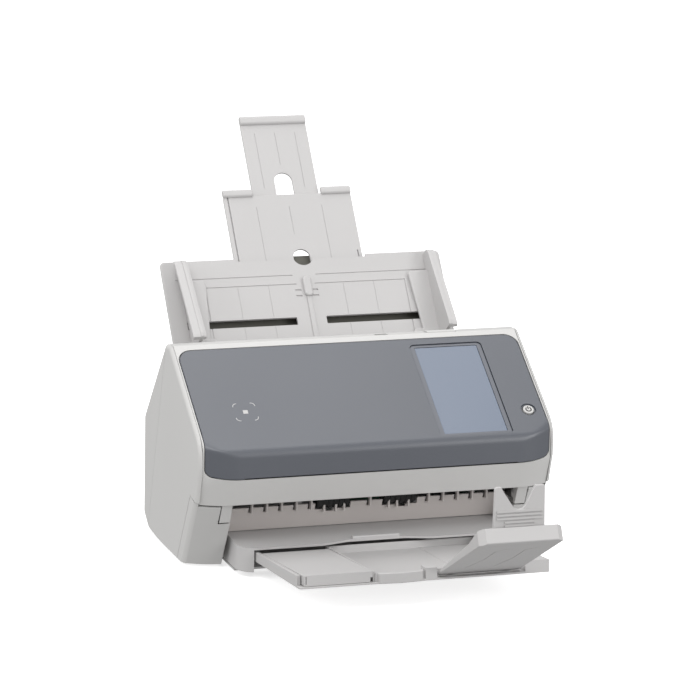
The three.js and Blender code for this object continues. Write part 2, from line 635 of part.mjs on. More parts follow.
function sideGuide(group, side) {
  const inner = side * GUIDE_X;
  const xs = [inner, inner + side * 3].sort((a, b) => a - b);
  const edge = [[-10, -3.5], [-14, -8], [-31, GUIDE_LOW + 4], [-31, GUIDE_LOW]];
  const wall = sweepX([[-0.4, GUIDE_LOW], [-0.4, -3.5], ...edge], xs[0], xs[1]);
  const footXs = [inner, inner - side * 22].sort((a, b) => a - b);
  const foot = box(footXs[0], footXs[1], -2.6, -0.4, GUIDE_LOW, GUIDE_LOW + 10);
  const baseXs = [inner, inner - side * 9.5].sort((a, b) => a - b);
  const base = box(baseXs[0], baseXs[1], -2.4, -0.4, GUIDE_LOW + 8, -20);
  const armXs = [inner - side * 4, inner + side * 3].sort((a, b) => a - b);
  const arm = box(armXs[0], armXs[1], -2, 4.6, SLOT.z0 + 1, SLOT.z1 - 1);
  const yokeZ = [SLOT_Z, SLOT_Z - side * (PINION_RADIUS + 2.4)].sort((a, b) => a - b);
  const yoke = box(armXs[0], armXs[1], 3, 4.6, yokeZ[0], yokeZ[1]);
  const rackEnds = [SLOT_Z - side * (PINION_RADIUS + GAP), SLOT_Z - side * (PINION_RADIUS + 2.4)];
  const rackZ = rackEnds.sort((a, b) => a - b);
  const rackXs = [inner + side * 2, -side * 14].sort((a, b) => a - b);
  const rack = box(rackXs[0], rackXs[1], 3, 4.6, rackZ[0], rackZ[1]);
  const name = side < 0 ? 'side_guide_left' : 'side_guide_right';
  add(group, name, 'light_grey', join(wall, foot, base, arm, yoke, rack));
}

function guidePinion(group) {
  add(group, 'guide_pinion', 'dark_plastic', rodY(PINION_RADIUS, 0, SLOT_Z, 3, 4.6, 24));
}

// Pull-out stacker, in its own slightly raised frame: y runs back from the tray's front edge.
function slopingGroup() {
  const group = new THREE.Group();
  group.position.set(0, STACKER_ORIGIN[0], STACKER_ORIGIN[1]);
  group.rotation.x = -STACKER_PITCH;
  root.add(group);
  return group;
}

const STACKER_REAR = 8;
const SIDE_REAR = 7.6;            // height of the stacker's sides where they meet the tray
const SIDE_FRONT = 10.2;
const BASE_PLATE = 1.6;

function wedge(x0, x1, y0, y1, bottom, rear, front) {
  return sweepX([[y0, bottom], [y1, bottom], [y1, rear], [y0, front]], x0, x1);
}

function stackerFrame(group) {
  const front = -STACKER_FRONT;
  const plate = box(-STACKER_HALF, STACKER_HALF, front, STACKER_REAR, 0, BASE_PLATE);
  const leftRail = wedge(-STACKER_HALF, -STACKER_HALF + 3.4, front + 8, STACKER_REAR, 0, SIDE_REAR, 9.6);
  const middleRail = wedge(-42.2, -40.6, front + 3, STACKER_REAR, 0, SIDE_REAR, 9.6);
  const rearWall = box(-41, 82.6, STACKER_REAR - 2.4, STACKER_REAR, 0, SIDE_REAR);
  const bow = [[-40.6, front + 6], [-38, front - 0.8], [-20, front - 3], [-2, front - 0.8], [0, front + 6]];
  const lip = sweepZ(bow, 0, 8.4);
  const lipBack = sweepX([[front + 2, 1], [front + 20, 1], [front + 2, 9]], -40.6, 0);
  const bump = box(0, 9.4, front, front + 12, 0, 10.4);
  const rightPad = box(36, 81.6, front + 16, STACKER_REAR, 0, 2);
  const rightBlock = wedge(82.2, STACKER_HALF, front, STACKER_REAR, 0, SIDE_REAR, SIDE_FRONT);
  const ramp = cut(lipBack, box(-50, 10, front + 2, front + 30, 8.4, 12));
  const shape = join(plate, leftRail, middleRail, rearWall, lip, ramp, bump, rightPad, rightBlock);
  add(group, 'stacker_frame', 'light_grey', shape);
}

function leftExtension(group) {
  const front = -STACKER_FRONT + 1;
  const body = wedge(-98.6, -42.8, front, -4, BASE_PLATE + GAP, SIDE_REAR, SIDE_FRONT);
  const pocket = wedge(-96, -45.4, front + 2.5, 0, 0, SIDE_REAR - 2, SIDE_FRONT - 2);
  add(group, 'stacker_left_extension', 'light_grey', cut(body, pocket));
}

function flapCarriage(group) {
  const y = (FLAP_HINGE[0] - STACKER_ORIGIN[0]) / Math.cos(STACKER_PITCH);
  const bar = box(FLAP_X[0], FLAP_X[1], y + 3.4, y + 9, 4, 7);
  const knuckles = [FLAP_X[0] + 8, FLAP_X[1] - 14].map((x) => join(
    box(x, x + 6, y - 0.2, y + 4, 4, 5.4), rodX(1.5, x, x + 6, y, 4.1 + 1.5, 12)));
  add(group, 'flap_carriage', 'light_grey', join(bar, ...knuckles));
}

function flapGroup() {
  const group = new THREE.Group();
  group.position.set(0, FLAP_HINGE[0], FLAP_HINGE[1]);
  group.rotation.x = -FLAP_RAISE;
  root.add(group);
  return group;
}

const STOPPER = { x0: 25, x1: 59.5, y: -FLAP_LENGTH + 11, height: 42 };

function stackerFlap(group) {
  const [x0, x1] = FLAP_X;
  const front = -FLAP_LENGTH;
  const top = [[1.4, 0.9], [front + 28, 6], [front + 2, 11], [front, 11]];
  const body = sweepX([[front, -1.2], [1.4, -1.2], ...top], x0, x1);
  const pocket = wedge(x0 + 2.6, x1 - 2.6, front + 2.4, -4, 0.6, 6, 20);
  const slots = [FLAP_X[0] + 8, FLAP_X[1] - 14].map((x) => box(x - CLEAR, x + 6 + CLEAR, -3.4, 4, -4, 4));
  add(group, 'stacker_flap', 'light_grey', cut(body, pocket, ...slots));
}

function stopperPlate() {
  const group = new THREE.Group();
  group.position.set(0, FLAP_HINGE[0], FLAP_HINGE[1]);
  root.add(group);
  const reach = STOPPER.y * Math.cos(FLAP_RAISE);
  const rise = -STOPPER.y * Math.sin(FLAP_RAISE);
  const { x0, x1, height } = STOPPER;
  const notch = arc((x0 + x1) / 2 - 1, rise + height + 2, 13, 180, 360, 12);
  const face = [[x0, rise + 3.4], [x1, rise + 3.4], [x1 - 0.8, rise + height], [x0 + 0.8, rise + height]];
  const plate = sweepY(face, reach - 1.4, reach + 1.4);
  const hub = rodX(1.6, x0, x1, reach, rise + 3.6, 12);
  const ribs = [14, 17.5, 21].map((z) => box(x0 + 3, x1 - 3, reach - 2, reach - 1, rise + z, rise + z + 1.2));
  add(group, 'stopper_plate', 'light_grey', cut(join(plate, hub, ...ribs), sweepY(notch, reach - 5, reach + 5)));
}

function buildBase() {
  bottomChassis();
  rubberFeet();
  sideCover(-1);
  sideCover(1);
  rearCover();
  connectors();
  frontPillar(-1);
  frontPillar(1);
  hingePin(-1);
  hingePin(1);
  lowerGuide();
  exitWall();
  scanGlass();
  rollers();
  shaftBearings();
  motorDrive();
  driveBelt();
  mainBoard();
  exitTray();
}

function buildCover() {
  coverShell();
  operatorPanel();
  upperGuide();
  releaseTab();
  const panel = onPanel();
  display(panel);
  powerButton(panel);
  cardReader(panel);
}

function buildChute() {
  const leaning = leaningGroup();
  chute(leaning);
  extension(leaning, 'chute_extension_1', EXTENSION_1, 3);
  extension(leaning, 'chute_extension_2', EXTENSION_2, 71);
  sideGuide(leaning, -1);
  sideGuide(leaning, 1);
  guidePinion(leaning);
}

function buildStacker() {
  const sloping = slopingGroup();
  stackerFrame(sloping);
  leftExtension(sloping);
  flapCarriage(sloping);
  stackerFlap(flapGroup());
  stopperPlate();
}

buildBase();
buildCover();
buildChute();
buildStacker();

export default root;
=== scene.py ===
"""Looks of a desktop sheet fed document scanner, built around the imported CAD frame.

Shapes are given in millimetres in the frames of the real object (body, operator panel, paper
chute, pull-out stacker, raised flap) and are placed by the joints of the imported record.
"""

import json
import math

import bmesh
import bpy
from mathutils import Matrix, Vector


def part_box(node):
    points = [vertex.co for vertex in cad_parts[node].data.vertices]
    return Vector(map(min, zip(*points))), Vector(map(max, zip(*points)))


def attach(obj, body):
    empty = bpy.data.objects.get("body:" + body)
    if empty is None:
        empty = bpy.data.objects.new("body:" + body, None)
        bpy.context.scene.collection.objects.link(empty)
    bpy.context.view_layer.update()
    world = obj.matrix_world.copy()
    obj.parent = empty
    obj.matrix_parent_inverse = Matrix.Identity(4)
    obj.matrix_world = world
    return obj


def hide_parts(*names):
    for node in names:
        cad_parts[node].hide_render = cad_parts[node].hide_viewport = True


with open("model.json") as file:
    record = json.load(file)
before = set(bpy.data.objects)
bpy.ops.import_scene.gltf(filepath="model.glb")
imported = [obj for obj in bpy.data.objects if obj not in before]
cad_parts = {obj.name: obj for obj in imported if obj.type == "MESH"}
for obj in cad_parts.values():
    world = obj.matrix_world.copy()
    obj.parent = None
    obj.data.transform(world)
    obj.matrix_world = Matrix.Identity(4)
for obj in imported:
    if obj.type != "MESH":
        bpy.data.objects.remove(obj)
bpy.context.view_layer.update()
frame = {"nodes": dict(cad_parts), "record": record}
NODES = frame["nodes"]
RECORD = frame["record"]
JOINTS = {joint["name"]: joint for joint in RECORD["behaviour"]["joints"]}
BODY_OF = {node: body for body, nodes in RECORD["behaviour"]["bodies"].items() for node in nodes}
SLOT_OF = {row["node"]: row["material_slot"] for row in RECORD["subparts"]}

MM = 0.001


def corner(node, end, axis):
    """One coordinate of a CAD node's box, in millimetres: end 0 is its low side and 1 its high side."""
    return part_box(node)[end]["XYZ".index(axis)] / MM


# ------------------------------------------------------------------ driving dimensions
PANEL_PITCH = math.radians(33.5)
CHUTE_LEAN = math.radians(37.6)
STACKER_PITCH = math.radians(5.02)
FLAP_RAISE = math.radians(27.7)
COVER_PIVOT = (-63.0, 54.0)      # y, z of the feeder cover's hinge
FLAP_HINGE = (-192.0, 27.2)

HALF_WIDTH = corner("side_cover_right", 1, "X")
SIDE_INNER = corner("side_cover_right", 0, "X")
COVER_HALF = corner("feeder_cover_shell", 1, "X")
WELL_HALF = 119.5
PILLAR_X = WELL_HALF + 0.8
CHUTE_HALF = corner("paper_chute", 1, "X")
TRAY_HALF = corner("exit_tray", 1, "X")
STACKER_HALF = corner("stacker_frame", 1, "X")
FLAP_X = (corner("stacker_flap", 0, "X"), corner("stacker_flap", 1, "X"))
GAP = 0.5                        # dark line between two mouldings
WALL = 2.5

SHIFT = JOINTS["feeder_cover_hinge"]["pos_m"][1] - COVER_PIVOT[0] * MM


def frame_at(y, z, tilt):
    """Millimetres in a frame whose origin is at (0, y, z) of the body and which is tilted about X."""
    place = Matrix.Translation((0, SHIFT + y * MM, z * MM))
    return place @ Matrix.Rotation(tilt, 4, "X") @ Matrix.Scale(MM, 4)


BODY = frame_at(0, 0, 0)
PANEL_TOP = (9.4, 169.0)
PANEL = frame_at(*PANEL_TOP, PANEL_PITCH)
CHUTE = frame_at(141.7, 213.4, -CHUTE_LEAN)
STACKER = frame_at(-82.0, 13.6, -STACKER_PITCH)
FLAP = frame_at(*FLAP_HINGE, -FLAP_RAISE)
STOPPER = frame_at(*FLAP_HINGE, 0)


# ------------------------------------------------------------------ camera, light and floor
def make_camera():
    azimuth, elevation, roll = math.radians(18.19), math.radians(12.79), math.radians(1.16)
    target = Vector((-0.00072, SHIFT, 0.16356))
    distance = 3.1631
    flat = math.cos(elevation)
    forward = Vector((math.sin(azimuth) * flat, math.cos(azimuth) * flat, -math.sin(elevation)))
    right = Vector((math.cos(azimuth), -math.sin(azimuth), 0))
    up = right.cross(forward)
    rolled_right = math.cos(roll) * right + math.sin(roll) * up
    rolled_up = -math.sin(roll) * right + math.cos(roll) * up
    data = bpy.data.cameras.new("camera")
    data.sensor_width = 36.0
    data.lens = 199.5
    data.clip_end = 50
    camera = bpy.data.objects.new("camera", data)
    bpy.context.scene.collection.objects.link(camera)
    rotation = Matrix((rolled_right, rolled_up, -forward)).transposed().to_4x4()
    camera.matrix_world = Matrix.Translation(target - forward * distance) @ rotation
    bpy.context.scene.camera = camera


def area_light(name, place, aim, size, power):
    data = bpy.data.lights.new(name, "AREA")
    data.shape = "RECTANGLE"
    data.size, data.size_y = size
    data.energy = power
    light = bpy.data.objects.new(name, data)
    bpy.context.scene.collection.objects.link(light)
    direction = Vector(aim) - Vector(place)
    light.rotation_euler = direction.to_track_quat("-Z", "Y").to_euler()
    light.location = place


def make_studio():
    world = bpy.data.worlds.new("studio")
    bpy.context.scene.world = world
    world.use_nodes = True
    background = world.node_tree.nodes["Background"]
    background.inputs["Color"].default_value = (1, 1, 1, 1)
    background.inputs["Strength"].default_value = 0.58
    area_light("key_light", (-0.9, -1.3, 2.0), (0, 0, 0.08), (1.6, 1.2), 23)
    area_light("top_light", (0.1, 0.4, 2.1), (0, 0, 0.1), (1.6, 1.6), 17)
    area_light("left_light", (-2.0, 0.2, 0.9), (0, 0, 0.1), (1.2, 1.2), 13)
    area_light("right_light", (1.3, -1.7, 0.75), (0, 0, 0.08), (1.0, 1.0), 17)
    bpy.context.scene.view_settings.view_transform = "Standard"
    reach = 12.0
    mesh = bpy.data.meshes.new("floor")
    mesh.from_pydata(
        [(-reach, -reach, 0), (reach, -reach, 0), (reach, reach, 0), (-reach, reach, 0)], [], [(0, 1, 2, 3)])
    floor = bpy.data.objects.new("floor", mesh)
    bpy.context.scene.collection.objects.link(floor)
    floor.data.materials.append(plain_floor())
    floor.visible_diffuse = False
    floor.visible_glossy = False
    floor.visible_shadow = False


def plain_floor():
    material = bpy.data.materials.new("floor")
    material.use_nodes = True
    shader = material.node_tree.nodes["Principled BSDF"]
    shader.inputs["Base Color"].default_value = (0.97, 0.97, 0.97, 1)
    shader.inputs["Roughness"].default_value = 0.9
    shader.inputs["Emission Color"].default_value = (1, 1, 1, 1)
    shader.inputs["Emission Strength"].default_value = 0.55
    return material


# ------------------------------------------------------------------ materials
def moulded(name, color, roughness=0.45, grain=0.000035, scale=2600.0, vary=0.03, metal=0.0,
             specular=0.5):
    """Moulded plastic: a fine spark-eroded grain, with small changes of tone and gloss."""
    material = bpy.data.materials.new(name)
    material.use_nodes = True
    tree = material.node_tree
    shader = tree.nodes["Principled BSDF"]
    place = tree.nodes.new("ShaderNodeTexCoord")
    noise = tree.nodes.new("ShaderNodeTexNoise")
    noise.inputs["Scale"].default_value = scale
    noise.inputs["Detail"].default_value = 2.0
    cloud = tree.nodes.new("ShaderNodeTexNoise")
    cloud.inputs["Scale"].default_value = 9.0
    cloud.inputs["Detail"].default_value = 3.0
    tone = tree.nodes.new("ShaderNodeMapRange")
    tone.inputs["To Min"].default_value = 1 - vary
    tone.inputs["To Max"].default_value = 1 + vary
    mix = tree.nodes.new("ShaderNodeMix")
    mix.data_type = "RGBA"
    mix.blend_type = "MULTIPLY"
    mix.inputs["Factor"].default_value = 1.0
    mix.inputs["A"].default_value = (*color, 1)
    gloss = tree.nodes.new("ShaderNodeMapRange")
    gloss.inputs["To Min"].default_value = roughness - 0.05
    gloss.inputs["To Max"].default_value = roughness + 0.05
    bump = tree.nodes.new("ShaderNodeBump")
    bump.inputs["Strength"].default_value = 0.35
    bump.inputs["Distance"].default_value = grain
    tree.links.new(place.outputs["Object"], noise.inputs["Vector"])
    tree.links.new(place.outputs["Object"], cloud.inputs["Vector"])
    tree.links.new(cloud.outputs["Fac"], tone.inputs["Value"])
    tree.links.new(tone.outputs["Result"], mix.inputs["B"])
    tree.links.new(mix.outputs["Result"], shader.inputs["Base Color"])
    tree.links.new(cloud.outputs["Fac"], gloss.inputs["Value"])
    tree.links.new(gloss.outputs["Result"], shader.inputs["Roughness"])
    tree.links.new(noise.outputs["Fac"], bump.inputs["Height"])
    tree.links.new(bump.outputs["Normal"], shader.inputs["Normal"])
    shader.inputs["Metallic"].default_value = metal
    shader.inputs["Specular IOR Level"].default_value = specular
    return material


MATERIALS = {
    "shell_white": moulded("shell_white", (0.55, 0.545, 0.535), 0.42),
    "light_grey": moulded("light_grey", (0.49, 0.481, 0.478), 0.5),
    "panel_grey": moulded("panel_grey", (0.079, 0.086, 0.103), 0.42, specular=0.85),
    "bezel_grey": moulded("bezel_grey", (0.115, 0.122, 0.142), 0.3),
    "screen_glass": moulded("screen_glass", (0.145, 0.175, 0.232), 0.22, vary=0.015),
    "scan_glass": moulded("scan_glass", (0.4, 0.45, 0.45), 0.1),
    "dark_plastic": moulded("dark_plastic", (0.02, 0.019, 0.018), 0.5),
    "rubber_black": moulded("rubber_black", (0.018, 0.018, 0.018), 0.8),
    "steel": moulded("steel", (0.5, 0.5, 0.51), 0.3, metal=1.0),
    "board_green": moulded("board_green", (0.02, 0.12, 0.06), 0.4),
}
# Painted shade: a dark grey for the chute back cover's hidden front face, seen through the chute's slots.
SLOT_SHADE_GREY = moulded("slot_shade_grey", (0.12, 0.117, 0.1), 0.6)
# Painted light: a lighter, warmer copy of the light grey, which lifts the exit wall out of the shade under
# the lip.
WALL_LIFTED_GREY = moulded("wall_lifted_grey", (0.61, 0.57, 0.55), 0.5)


# ------------------------------------------------------------------ outlines
def arc(u, v, radius, start, end, steps=8):
    """Points on a circle from one angle to another, in degrees."""
    angles = [math.radians(start + (end - start) * i / steps) for i in range(steps + 1)]
    return [(u + radius * math.cos(angle), v + radius * math.sin(angle)) for angle in angles]


def rectangle(u0, u1, v0, v1):
    return [(u0, v0), (u1, v0), (u1, v1), (u0, v1)]


def soften(outline, radius, steps=4):
    """Rounds the corners of an outline. 'radius' is one number, or one for each corner."""
    radii = radius if isinstance(radius, (list, tuple)) else [radius] * len(outline)
    rounded = []
    for i, point in enumerate(outline):
        point = Vector(point)
        if radii[i] <= 0:
            rounded.append(tuple(point))
            continue
        before = Vector(outline[i - 1]) - point
        after = Vector(outline[(i + 1) % len(outline)]) - point
        half = before.angle(after) / 2
        reach = min(radii[i] / math.tan(half), 0.48 * before.length, 0.48 * after.length)
        turn = reach * math.tan(half)
        before.normalize()
        after.normalize()
        centre = point + (before + after).normalized() * (turn / math.sin(half))
        first = point + before * reach - centre
        last = point + after * reach - centre
        for k in range(steps + 1):
            spoke = first.lerp(last, k / steps).normalized() * turn
            rounded.append(tuple(centre + spoke))
    return rounded


def shrink(outline, distance, held=()):
    """Moves the edges of an outline inwards. Edges named by their first point's number stay put."""
    count = len(outline)
    area = sum(outline[i - 1][0] * outline[i][1] - outline[i][0] * outline[i - 1][1] for i in range(count))
    turn = 1 if area > 0 else -1
    edges = []
    for i in range(count):
        edge = (Vector(outline[(i + 1) % count]) - Vector(outline[i])).normalized()
        edges.append((Vector((-edge.y, edge.x)) * turn, 0 if i in held else distance))
    moved = []
    for i, (u, v) in enumerate(outline):
        (first, before), (second, after) = edges[i - 1], edges[i]
        cross = first.x * second.y - first.y * second.x
        if abs(cross) < 0.02:
            shift = second * max(before, after)
        else:
            shift = Vector((before * second.y - after * first.y, first.x * after - second.x * before)) / cross
        moved.append((u + shift.x, v + shift.y))
    return moved


# ------------------------------------------------------------------ solids
def placed(u, v, w, along):
    """A point of an outline (u, v), swept to w: X takes (y, z), Y takes (x, z) and Z takes (x, y)."""
    return {"X": (w, u, v), "Y": (u, w, v), "Z": (u, v, w)}[along]


def rim(edge, steps=3):
    """A rounded rim, from the end face to the side: the depth below the end face, and the inset."""
    if edge <= 0:
        return [(0, 0)]
    angles = [math.pi / 2 * i / steps for i in range(steps + 1)]
    return [(edge * (1 - math.cos(angle)), edge * (1 - math.sin(angle))) for angle in angles]


def as_object(mesh):
    bmesh.ops.recalc_face_normals(mesh, faces=mesh.faces)
    data = bpy.data.meshes.new("piece")
    mesh.to_mesh(data)
    mesh.free()
    piece = bpy.data.objects.new("piece", data)
    bpy.context.scene.collection.objects.link(piece)
    return piece


def skin_rings(rings):
    """A closed solid from rings of points."""
    mesh = bmesh.new()
    loops = [[mesh.verts.new(point) for point in ring] for ring in rings]
    for lower, upper in zip(loops, loops[1:]):
        for i in range(len(lower)):
            mesh.faces.new((lower[i - 1], lower[i], upper[i], upper[i - 1]))
    mesh.faces.new(loops[0])
    mesh.faces.new(loops[-1])
    return as_object(mesh)


def block(outline, low, high, along="X", place=BODY, edge=0.4, rims=None, held=(), stations=(), bend=None):
    """A solid swept from an outline, with rounded rims at both ends."""
    low_rim, high_rim = rims or (rim(edge), rim(edge))
    levels = [(low + depth, inset) for depth, inset in low_rim]
    levels += [(station, 0) for station in stations]
    levels += [(high - depth, inset) for depth, inset in reversed(high_rim)]
    rings = []
    for level, inset in levels:
        ring = shrink(outline, inset, held) if inset else outline
        points = [placed(u, v, level, along) for u, v in ring]
        if bend:
            points = [bend(*point) for point in points]
        rings.append([place @ Vector(point) for point in points])
    return skin_rings(rings)


def box(x0, x1, y0, y1, z0, z1, place=BODY, edge=0.0):
    return block(rectangle(x0, x1, y0, y1), z0, z1, "Z", place, edge)


def lathe(profile, centre, along="X", place=BODY, sides=40):
    """A solid turned about an axis, from (distance along, radius) pairs."""
    u, v = centre
    rings = []
    for w, radius in profile:
        circle = arc(u, v, radius, 0, 360 * (sides - 1) / sides, sides - 1)
        rings.append([place @ Vector(placed(cu, cv, w, along)) for cu, cv in circle])
    return skin_rings(rings)


def rod(radius, low, high, centre, along="X", place=BODY, edge=0.0, sides=40):
    profile = [(low + depth, radius - inset) for depth, inset in rim(edge)]
    profile += [(high - depth, radius - inset) for depth, inset in reversed(rim(edge))]
    return lathe(profile, centre, along, place, sides)


def settle(piece):
    """Applies a piece's modifiers."""
    graph = bpy.context.evaluated_depsgraph_get()
    made = bpy.data.meshes.new_from_object(piece.evaluated_get(graph))
    piece.modifiers.clear()
    spare = piece.data
    piece.data = made
    bpy.data.meshes.remove(spare)
    return piece


def combine(how, base, tools):
    for tool in tools:
        step = base.modifiers.new("step", "BOOLEAN")
        step.operation = how
        step.solver = "MANIFOLD"
        step.object = tool
    settle(base)
    for tool in tools:
        bpy.data.objects.remove(tool)
    return base


def join(base, *tools):
    return combine("UNION", base, tools)


def cut(base, *tools):
    return combine("DIFFERENCE", base, tools)


def mirrored(piece):
    """The same piece on the other side of the body's middle."""
    twin = piece.copy()
    twin.data = piece.data.copy()
    bpy.context.scene.collection.objects.link(twin)
    for vertex in twin.data.vertices:
        vertex.co.x = -vertex.co.x
    twin.data.flip_normals()
    return twin


def both(piece):
    return piece, mirrored(piece)


def groove(points, width, deep, along="Y", place=CHUTE, surface=0.0, outward=-1):
    """Cutters for a fine line through the points, sunk into a surface."""
    cutters = []
    for (u0, v0), (u1, v1) in zip(points, points[1:]):
        run = Vector((u1 - u0, v1 - v0)).normalized() * width / 2
        side = Vector((-run.y, run.x))
        outline = [(u0 - run.x - side.x, v0 - run.y - side.y), (u1 + run.x - side.x, v1 + run.y - side.y),
                   (u1 + run.x + side.x, v1 + run.y + side.y), (u0 - run.x + side.x, v0 - run.y + side.y)]
        ends = sorted((surface - outward * deep, surface + outward * 1.0))
        cutters.append(block(outline, *ends, along, place, 0))
    return cutters


# ------------------------------------------------------------------ finishing a piece
def shade(piece, angle=32):
    piece.data.shade_smooth()
    piece.data.set_sharp_from_angle(angle=math.radians(angle))
    piece.modifiers.new("shading", "WEIGHTED_NORMAL").keep_sharp = True


def dress(piece, node, more=()):
    """The piece stands for a CAD node, moves with it and has its finish."""
    piece.name = f"{node}_detailed"
    piece.data.name = piece.name
    piece.data.materials.clear()
    piece.data.materials.append(MATERIALS[SLOT_OF[node]])
    for extra in more:
        piece.data.materials.append(extra)
    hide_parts(node)
    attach(piece, BODY_OF[node])
    shade(piece)
    return piece


def detail(piece, name, node, slot):
    """A small part of a CAD node's own assembly, which moves with it."""
    piece.name = name
    piece.data.name = name
    piece.data.materials.clear()
    piece.data.materials.append(MATERIALS[slot])
    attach(piece, BODY_OF[node])
    shade(piece)
    return piece


# ------------------------------------------------------------------ feeder cover
BEND = (-78.0, 100.4)            # y, z of the middle of the bend at the front
BEND_RADIUS = 9.0
FRONT_Y = BEND[0] - BEND_RADIUS
GREY_BOTTOM = 83.6
LIP_BOTTOM = (-78.5, 60.3)
LIP_LEAN = (LIP_BOTTOM[0] - FRONT_Y) / (GREY_BOTTOM - LIP_BOTTOM[1])
PLAN_STRAIGHT = 117.4
PLAN_SETBACK = 9.3
PLANE_END = 90 + math.degrees(PANEL_PITCH)
PLANE_REACH = PANEL_TOP[0] - BEND[0] - BEND_RADIUS * math.cos(math.radians(PLANE_END))
PLANE_LENGTH = PLANE_REACH / math.cos(PANEL_PITCH)
BEND_LENGTH = BEND_RADIUS * math.radians(180 - PLANE_END)
FRONT_LENGTH = PLANE_LENGTH + BEND_LENGTH + BEND[1] - GREY_BOTTOM
FRONT_STATIONS = (0, PLAN_STRAIGHT, 121, 124.5, 128, 131, 134, 136.5, 139, 141, 143, 144.6)
ACROSS = sorted({side * x for x in FRONT_STATIONS for side in (-1, 1)})


def setback(x):
    """How far the front falls back towards the sides, seen from above."""
    t = max(0.0, (abs(x) - PLAN_STRAIGHT) / (COVER_HALF - PLAN_STRAIGHT))
    return PLAN_SETBACK * t * t


def round_front(x, y, z, depth=0.0):
    """Moves a point of the cover's front back to the curve of its plan, with a soft corner."""
    back = setback(x)
    if back < 1e-6:
        return x, y, z
    limit = FRONT_Y + depth + max(0.0, GREY_BOTTOM - z) * LIP_LEAN + back
    soft = min(6.0, 0.8 * back)
    apart = y - limit
    if apart > soft:
        return x, y, z
    if apart < -soft:
        return x, limit, z
    return x, limit + (apart + soft) ** 2 / (4 * soft), z


def front_profile(v, depth=0.0):
    """y and z of the cover's front, v millimetres down from the panel's upper edge, below the surface."""
    if v < PLANE_LENGTH:
        return (PANEL_TOP[0] - v * math.cos(PANEL_PITCH) + depth * math.sin(PANEL_PITCH),
                PANEL_TOP[1] - v * math.sin(PANEL_PITCH) - depth * math.cos(PANEL_PITCH))
    if v < PLANE_LENGTH + BEND_LENGTH:
        angle = math.radians(PLANE_END) + (v - PLANE_LENGTH) / BEND_RADIUS
        radius = BEND_RADIUS - depth
        return BEND[0] + radius * math.cos(angle), BEND[1] + radius * math.sin(angle)
    return FRONT_Y + depth, BEND[1] - (v - PLANE_LENGTH - BEND_LENGTH)


def front_rows(first, last):
    """Rows down the front, closer together round the bend."""
    plane = [8, 20, 35, 50, 65, 78, 86, 92, 96.5, 100, 103, 105.5, 107.5, 109.3]
    bend = [PLANE_LENGTH + BEND_LENGTH * i / 8 for i in range(9)]
    drop = [PLANE_LENGTH + BEND_LENGTH + z for z in (4, 8, 12)]
    return [v for v in plane + bend + drop if first + 0.4 < v < last - 0.4]


def cover_outline():
    corners = [(58, 114.4), (26, 170.5), (13, 171.5), PANEL_TOP, front_profile(20)]
    top = soften(corners, [0, 3.5, 2.5, 1.0, 0])[:-1]
    front = [front_profile(v) for v in front_rows(4, FRONT_LENGTH)]
    lip = [(FRONT_Y + LIP_LEAN * drop, GREY_BOTTOM - drop) for drop in (0, 6, 12, 18)]
    foot = soften([lip[-1], LIP_BOTTOM, (-52, LIP_BOTTOM[1])], [0, 1.0, 0])[1:]
    return top + front + lip + foot


COVER_OUTLINE = cover_outline()
CORE_ROWS = (8, 60, 90, 100, 106, PLANE_LENGTH, PLANE_LENGTH + 3, PLANE_LENGTH + 6,
             PLANE_LENGTH + BEND_LENGTH)
COVER_CORE = [(58, 114.4), (26, 170.5), (14, 170.5)] + [front_profile(v) for v in CORE_ROWS] + [
    (FRONT_Y, GREY_BOTTOM), LIP_BOTTOM, (-52, LIP_BOTTOM[1])]
COVER_WALL = 5.3
PANEL_HALF = COVER_HALF - 1.6    # a thin bright rim of the cover is left at each side
PANEL_START = 1.5
PANEL_CORNERS = (12.0, 6.0)      # radius of the grey panel's upper and lower corners
BOTTOM_RISE = 3.2                # of the grey panel's lower edge towards the sides


def panel_solid(grow, outer, inner):
    """The grey panel's slab round the bend, grown sideways, from one depth to another."""
    first, last = PANEL_START - grow, FRONT_LENGTH + grow
    upper, lower = PANEL_CORNERS
    steps = [1 - math.cos(math.pi / 2 * i / 8) for i in range(9)]
    rows = [first + upper * step for step in steps]
    ends = [last - lower * step for step in reversed(steps)]
    rows += front_rows(rows[-1], ends[0]) + ends
    across = [x / ACROSS[-1] for x in ACROSS]
    across = [-1, -0.998] + across[1:-1] + [0.998, 1]
    mesh = bmesh.new()
    grids = []
    for depth in (outer, inner):
        grid = []
        for v in rows:
            half = PANEL_HALF + grow
            for radius, inside in ((upper, v - first), (lower, last - v)):
                if inside < radius:
                    half += math.sqrt(max(0.0, radius ** 2 - (radius - inside) ** 2)) - radius
            line = []
            for share in across:
                x = share * half
                y, z = front_profile(v, depth)
                low = max(0.0, (v - PLANE_LENGTH - BEND_LENGTH) / (last - PLANE_LENGTH - BEND_LENGTH))
                z += BOTTOM_RISE * low * setback(x) / PLAN_SETBACK
                line.append(mesh.verts.new(BODY @ Vector(round_front(x, y, z, depth))))
            grid.append(line)
        grids.append(grid)
    high, deep = grids
    for grid in grids:
        for upper_line, lower_line in zip(grid, grid[1:]):
            for i in range(len(across) - 1):
                mesh.faces.new((upper_line[i], upper_line[i + 1], lower_line[i + 1], lower_line[i]))
    border = [(0, i) for i in range(len(across))]
    border += [(j, -1) for j in range(1, len(rows))]
    border += [(-1, i) for i in reversed(range(len(across) - 1))]
    border += [(j, 0) for j in range(len(rows) - 2, 0, -1)]
    for (j0, i0), (j1, i1) in zip(border, border[1:] + border[:1]):
        mesh.faces.new((high[j0][i0], high[j1][i1], deep[j1][i1], deep[j0][i0]))
    return as_object(mesh)


def ease(piece, width, angle=50, segments=2):
    """Rounds the sharp edges of a piece."""
    bevel = piece.modifiers.new("ease", "BEVEL")
    bevel.width = width * MM
    bevel.segments = segments
    bevel.limit_method = "ANGLE"
    bevel.angle_limit = math.radians(angle)
    bevel.use_clamp_overlap = False
    return settle(piece)


